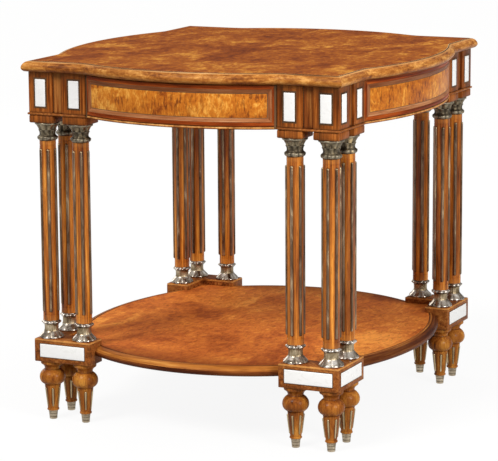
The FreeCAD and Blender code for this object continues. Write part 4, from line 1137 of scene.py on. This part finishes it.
ferrule = {
    "around": 40,
    "profile": [
        (5, 0), (6.9, 0), (7.6, 0.6), (7.75, 1.6), (7.9, 4.4), (7.5, 4.8), (7.5, 5.3), (8.0, 5.8),
        (8.5, 10.8), (8.1, 11.2), (8.1, 11.7), (8.7, 12.2), (9.1, 15.4), (8.8, 15.8), (9.4, 16.3),
        (9.6, 17.0), (9.4, 17.7), (8.8, 18.05), (5, 18.05)],
    "hollow": [0, 0.2, 0, 0, 0.2, 1, 1, 0.2, 0.2, 1, 1, 0.2, 0.2, 1, 0.1, 0, 0.1, 0.6, 1],
}
ferrules = newForm()
for corner, name in corners:
    for spot in plan["spots"]:
        addTurned(ferrules, *atCorner(corner, *spot), ferrule["profile"], ferrule["around"],
                  lambda step, angle: (1, ferrule["hollow"][step]))
finishPiece("footFerrules", ferrules, [dullBrass], "table", "antique_brass", "ferrules")
print("abaci, feet and ferrules ready")

# carcase and drawer box keep their solids
dress(drawerOak, "drawer_side_right", "drawer_side_left", "drawer_bottom", "drawer_back")
dress(carcaseOak, "front_rail", "back_rail", "runner_right", "runner_left", "drawer_kickers", "top_dowels")
print("carcase ready")

# studio in metres: pale floor, dim-walled dome, a soft sun and two discs
# a lamp has a name, kind, place, aim, strength, size (degrees for the sun) and colour
studio = {
    "floorTone": (0.40, 0.40, 0.395), "floorRough": 0.9, "floorRadius": 40, "floorPoints": 48,
    "floorLift": 0.8, "glow": 1.14, "zenith": 0.67, "zenithHeight": 0.75, "horizon": 0.09,
    "lamps": [("keySun", "SUN", (-1.2, -3.4, 4.2), (0, 0, 0.35), 1.88, 20, (1, 0.985, 0.96)),
              ("sideSoft", "AREA", (3.3, -1.6, 1.7), (0, 0, 0.4), 96, 1.6, (1, 0.99, 0.97)),
              ("rearSoft", "AREA", (-3.4, 1.9, 1.5), (0, 0, 0.4), 34, 2.0, (1, 0.99, 0.97))],
}
floorMesh = bpy.data.meshes.new("floor")
around = [circle * k / studio["floorPoints"] for k in range(studio["floorPoints"])]
rim = [(studio["floorRadius"] * math.cos(a), studio["floorRadius"] * math.sin(a), 0) for a in around]
floorMesh.from_pydata(rim, [], [list(range(len(rim)))])
floor = bpy.data.objects.new("floor", floorMesh)
bpy.context.scene.collection.objects.link(floor)
floorFinish, tree, shader = newFinish("paleFloor")
shader.inputs["Base Color"].default_value = (*studio["floorTone"], 1)
shader.inputs["Roughness"].default_value = studio["floorRough"]
shader.inputs["Specular IOR Level"].default_value = 0.0
glow = put(tree, "Emission", {"Color": (1, 1, 1, 1), "Strength": studio["glow"]})
rays = put(tree, "LightPath")
seen = reckon(tree, "MAXIMUM", rays.outputs["Is Camera Ray"], rays.outputs["Is Glossy Ray"])
seen = reckon(tree, "MAXIMUM", seen, rays.outputs["Is Transmission Ray"])
lifted = scaled(tree, seen, studio["floorLift"])
both = put(tree, "MixShader", {0: lifted, 1: shader.outputs[0], 2: glow.outputs[0]})
tree.links.new(both.outputs[0], tree.nodes["Material Output"].inputs["Surface"])
floorMesh.materials.append(floorFinish)

world = bpy.data.worlds.new("dome")
bpy.context.scene.world = world
world.use_nodes = True
tree = world.node_tree
looking = put(tree, "TexCoord").outputs["Generated"]
height = put(tree, "SeparateXYZ", {0: looking}).outputs[2]
bright = spread(tree, height, 0.0, studio["zenithHeight"], studio["horizon"], studio["zenith"])
tree.links.new(bright, tree.nodes["Background"].inputs["Strength"])
tree.nodes["Background"].inputs["Color"].default_value = (1, 1, 1, 1)


def addLamp(name, kind, place, aim, strength, size, colour):
    data = bpy.data.lights.new(name, kind)
    data.energy = strength
    data.color = colour
    if kind == "SUN":
        data.angle = math.radians(size)
    else:
        data.shape = "DISK"
        data.size = size
    lamp = bpy.data.objects.new(name, data)
    lamp.location = place
    lamp.rotation_euler = (Vector(aim) - Vector(place)).to_track_quat("-Z", "Y").to_euler()
    bpy.context.scene.collection.objects.link(lamp)


for lamp in studio["lamps"]:
    addLamp(*lamp)

# camera fitted to the photograph
view = {
    "lens": 179.974, "sensor": 36, "place": (2.09051, -4.49561, 1.27529), "roll": -0.0061688,
    "forward": (-0.417818, 0.889638, -0.184319), "right": (0.905146, 0.425101, 0),
    "up": (-0.078354, 0.166836, 0.982867),
}
cameraData = bpy.data.cameras.new("camera")
cameraData.lens = view["lens"]
cameraData.sensor_width = view["sensor"]
camera = bpy.data.objects.new("camera", cameraData)
bpy.context.scene.collection.objects.link(camera)
right, up = Vector(view["right"]), Vector(view["up"])
tiltedRight = right * math.cos(view["roll"]) + up * math.sin(view["roll"])
tiltedUp = up * math.cos(view["roll"]) - right * math.sin(view["roll"])
turn = Matrix((tiltedRight, tiltedUp, -Vector(view["forward"]))).transposed().to_4x4()
camera.matrix_world = Matrix.Translation(Vector(view["place"])) @ turn
bpy.context.scene.camera = camera
bpy.context.scene.view_settings.view_transform = "Standard"
print("studio and camera ready")
